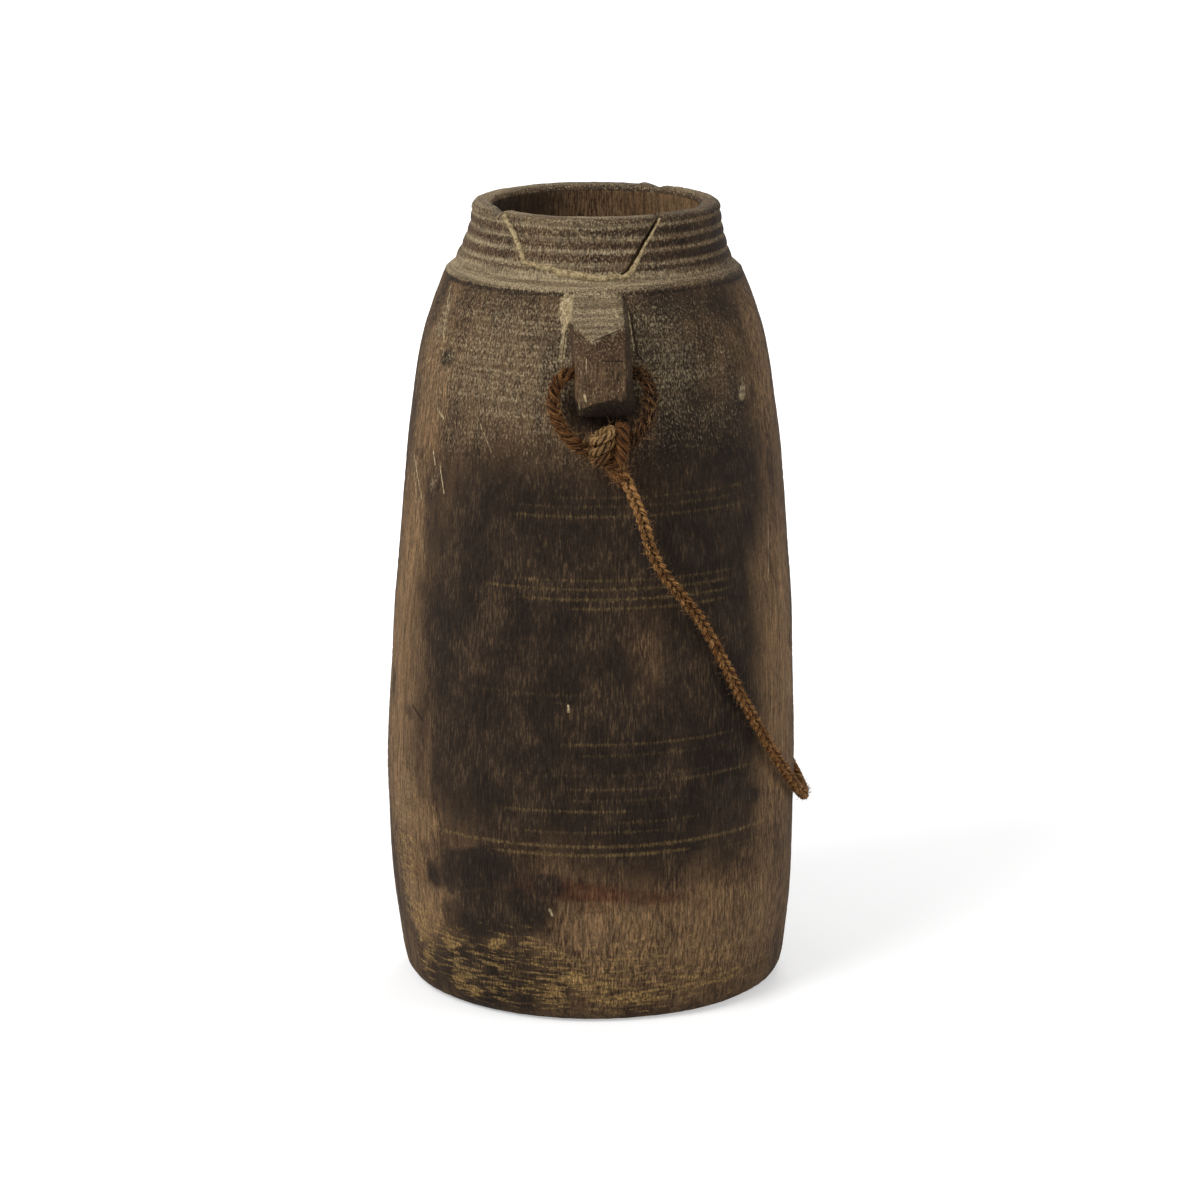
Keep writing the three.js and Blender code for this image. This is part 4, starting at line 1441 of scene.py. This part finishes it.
def coir(name, dark, mid, pale, pale_share, rubbed_tone, fade=None):
    """Fibre rope. fade gives two heights in mm, between which it gets paler."""
    made, tree, shader = start_material(name, 0.85, 0.12)
    strand_map = add(tree, "TexCoord")["UV"]
    scale = (1000 / FIBRE_LONG, 1000 / FIBRE_WIDE, 1)
    along = add(tree, "Mapping", {"Vector": strand_map, "Scale": scale})[0]
    grains = {"Vector": along, "Scale": 1, "Detail": 3, "Roughness": 0.65}
    fibre = add(tree, "TexNoise", grains)[0]
    place = add(tree, "TexCoord")["Object"]
    patch = add(tree, "TexNoise", {"Vector": place, "Scale": 240, "Detail": 2})[0]
    tone = lay_over(tree, colour(dark), mid, fibre, 0.36, 0.56)
    tone = lay_over(tree, tone, pale, fibre, 0.5, 0.68, pale_share)
    wear = add(tree, "Attribute", attribute_name="wear_and_shade")["Fac"]
    if fade:
        height = add(tree, "SeparateXYZ", {0: place})["Z"]
        wear = add(tree, "MapRange", {0: height, 1: fade[0] * MM, 2: fade[1] * MM})[0]
    bleached = add(tree, "Math", {0: fibre, 1: wear}, operation="MULTIPLY")[0]
    tone = lay_over(tree, tone, rubbed_tone, bleached, 0.3, 0.62, 0.85)
    tone = lay_over(tree, tone, dark, patch, 0.54, 0.68, 0.4)
    # painted shade between the strands and on the loops' right side, read from the sunk mark
    sunk = add(tree, "Attribute", attribute_name="sunk")["Fac"]
    tone = lay_over(tree, tone, "#150c06", sunk, 0.1, 0.9, 0.88)
    dress(tree, shader, tone, fibre, 0.7, 1.0)
    return made


def hair(name, dark, pale):
    """The same fibre where a single one stands off."""
    made, tree, shader = start_material(name, 0.7, 0.2)
    place = add(tree, "TexCoord")["Object"]
    patch = add(tree, "TexNoise", {"Vector": place, "Scale": 420, "Detail": 1})[0]
    tone = lay_over(tree, colour(dark), pale, patch, 0.4, 0.6)
    tree.links.new(tone, shader.inputs["Base Color"])
    return made


loop_coir = coir("twisted coir", "#22130a", "#5a381b", "#9b6c3e", 0.82, "#ba9562")
plait_tones = ("#2f1b0c", "#875a2f", "#c79a63", 0.95, "#c9955c")
sling_coir = coir("plaited coir", *plait_tones, fade=(150, 250))
coir_hair = hair("loose coir fibre", "#4f321a", "#a88052")
print("rope materials:", ", ".join(m.name for m in (loop_coir, sling_coir, coir_hair)))

# %% [markdown]
# Each piece now gets its material, takes the place of its part in the frame and rides
# on the body that carries it. The fibres and the plait's tails take no part's place:
# they only dress the ropes.

# %% Pieces on their bodies
# piece, body, the frame's parts whose place it takes, slot and material
PIECES = [
    (pot, "pot", ["pot_body"], "aged_wood", wood),
    (sherd, "pot", ["rim_sherd"], "aged_wood", wood),
    (paste, "pot", ["crack_filler"], "dry_filler", crust),
    (front_loop, "pot", ["front_loop"], "coir_rope", loop_coir),
    (rear_loop, "pot", ["rear_loop"], "coir_rope", loop_coir),
    (front_knot, "pot", ["front_knot"], "coir_rope", loop_coir),
    (rear_knot, "pot", ["rear_knot"], "coir_rope", loop_coir),
    (sling, "sling", ["rope_sling"], "plaited_rope", sling_coir),
    (front_fuzz, "pot", [], "coir_rope", coir_hair),
    (rear_fuzz, "pot", [], "coir_rope", coir_hair),
    (front_tufts, "pot", [], "coir_rope", coir_hair),
    (rear_tufts, "pot", [], "coir_rope", coir_hair),
    (sling_fuzz, "sling", [], "plaited_rope", coir_hair),
    (sling_tails, "sling", [], "plaited_rope", sling_coir),
]
for made, body, nodes, slot, material in PIECES:
    made.data.materials.clear()
    made.data.materials.append(material)
    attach(made, body)
    if nodes:
        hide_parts(*nodes)
print("pieces:", len(PIECES))

# %% [markdown]

# %% [markdown]
# The pot stands on a wide pale floor in soft studio light. A large lamp high on the
# left gives the shape its shading, a weaker one fills from the right, and an even sky
# does the rest. The floor and the sky are white only for the camera, so that the white
# of the photograph never comes from more light on the pot.

# %% Floor and sky
SKY_LIGHT = 0.42
GLOW_NEAR = 0.42  # the floor's own white for the camera, by the pot
GLOW_FAR = 0.95  # and from three metres away on


def looked_at(tree):
    """1 for the rays that look at a thing, straight or by a mirror or glass, else 0."""
    rays = add(tree, "LightPath")
    seen = rays["Is Camera Ray"]
    for kind in ("Is Glossy Ray", "Is Transmission Ray"):
        seen = add(tree, "Math", {0: seen, 1: rays[kind]}, operation="MAXIMUM")[0]
    return seen


bm = bmesh.new()
bmesh.ops.create_circle(bm, cap_ends=True, radius=30, segments=96)
floor = object_from(bm, "floor")
paper, tree, shader = start_material("white paper floor", 0.9, 0.1)
shader.inputs["Base Color"].default_value = colour("#e4e4e4")
spot = add(tree, "TexCoord")["Object"]
away = add(tree, "VectorMath", {0: spot}, operation="LENGTH")["Value"]
rising = add(tree, "MapRange", {0: away, 1: 0.4, 2: 3.0, 3: GLOW_NEAR, 4: GLOW_FAR})[0]
glow = add(tree, "Math", {0: looked_at(tree), 1: rising}, operation="MULTIPLY")[0]
shader.inputs["Emission Color"].default_value = (1, 1, 1, 1)
tree.links.new(glow, shader.inputs["Emission Strength"])
floor.data.materials.append(paper)
floor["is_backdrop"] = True

sky = bpy.data.worlds.new("studio")
bpy.context.scene.world = sky
sky.use_nodes = True
tree = sky.node_tree
strength = add(tree, "MapRange", {0: looked_at(tree), 3: SKY_LIGHT, 4: 1.0})[0]
tree.links.new(strength, tree.nodes["Background"].inputs["Strength"])
tree.nodes["Background"].inputs["Color"].default_value = (1, 1, 1, 1)
print("sky light", SKY_LIGHT)

# %% [markdown]
# The lamps are round and large, like lamps behind cloth, so that shadows end softly.
# The one behind the pot keeps its dark edge apart from the shadow.

# %% Lamps


def lamp(name, place, size, watts):
    """A round lamp that shines on the middle of the pot."""
    data = bpy.data.lights.new(name, "AREA")
    data.shape, data.size, data.energy = "DISK", size, watts
    made = bpy.data.objects.new(name, data)
    made.location = place
    to_pot = Vector((0, 0, 0.2)) - Vector(place)
    made.rotation_euler = to_pot.to_track_quat("-Z", "Y").to_euler()
    bpy.context.scene.collection.objects.link(made)


lamp("key", (-1.5, -1.3, 1.9), 1.4, 46)
lamp("fill", (1.9, -0.9, 1.0), 1.1, 9)
lamp("back", (0.4, 1.6, 1.6), 0.9, 14)
bpy.context.scene.view_settings.view_transform = "Standard"
print("lamps:", len(bpy.data.lights))

# %% [markdown]
# Last, the size of what was built here is printed, in millimetres.

# %% Sizes, and the end
low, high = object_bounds()
print("visual in mm:", [round(v / MM, 1) for v in (*low, *high)])
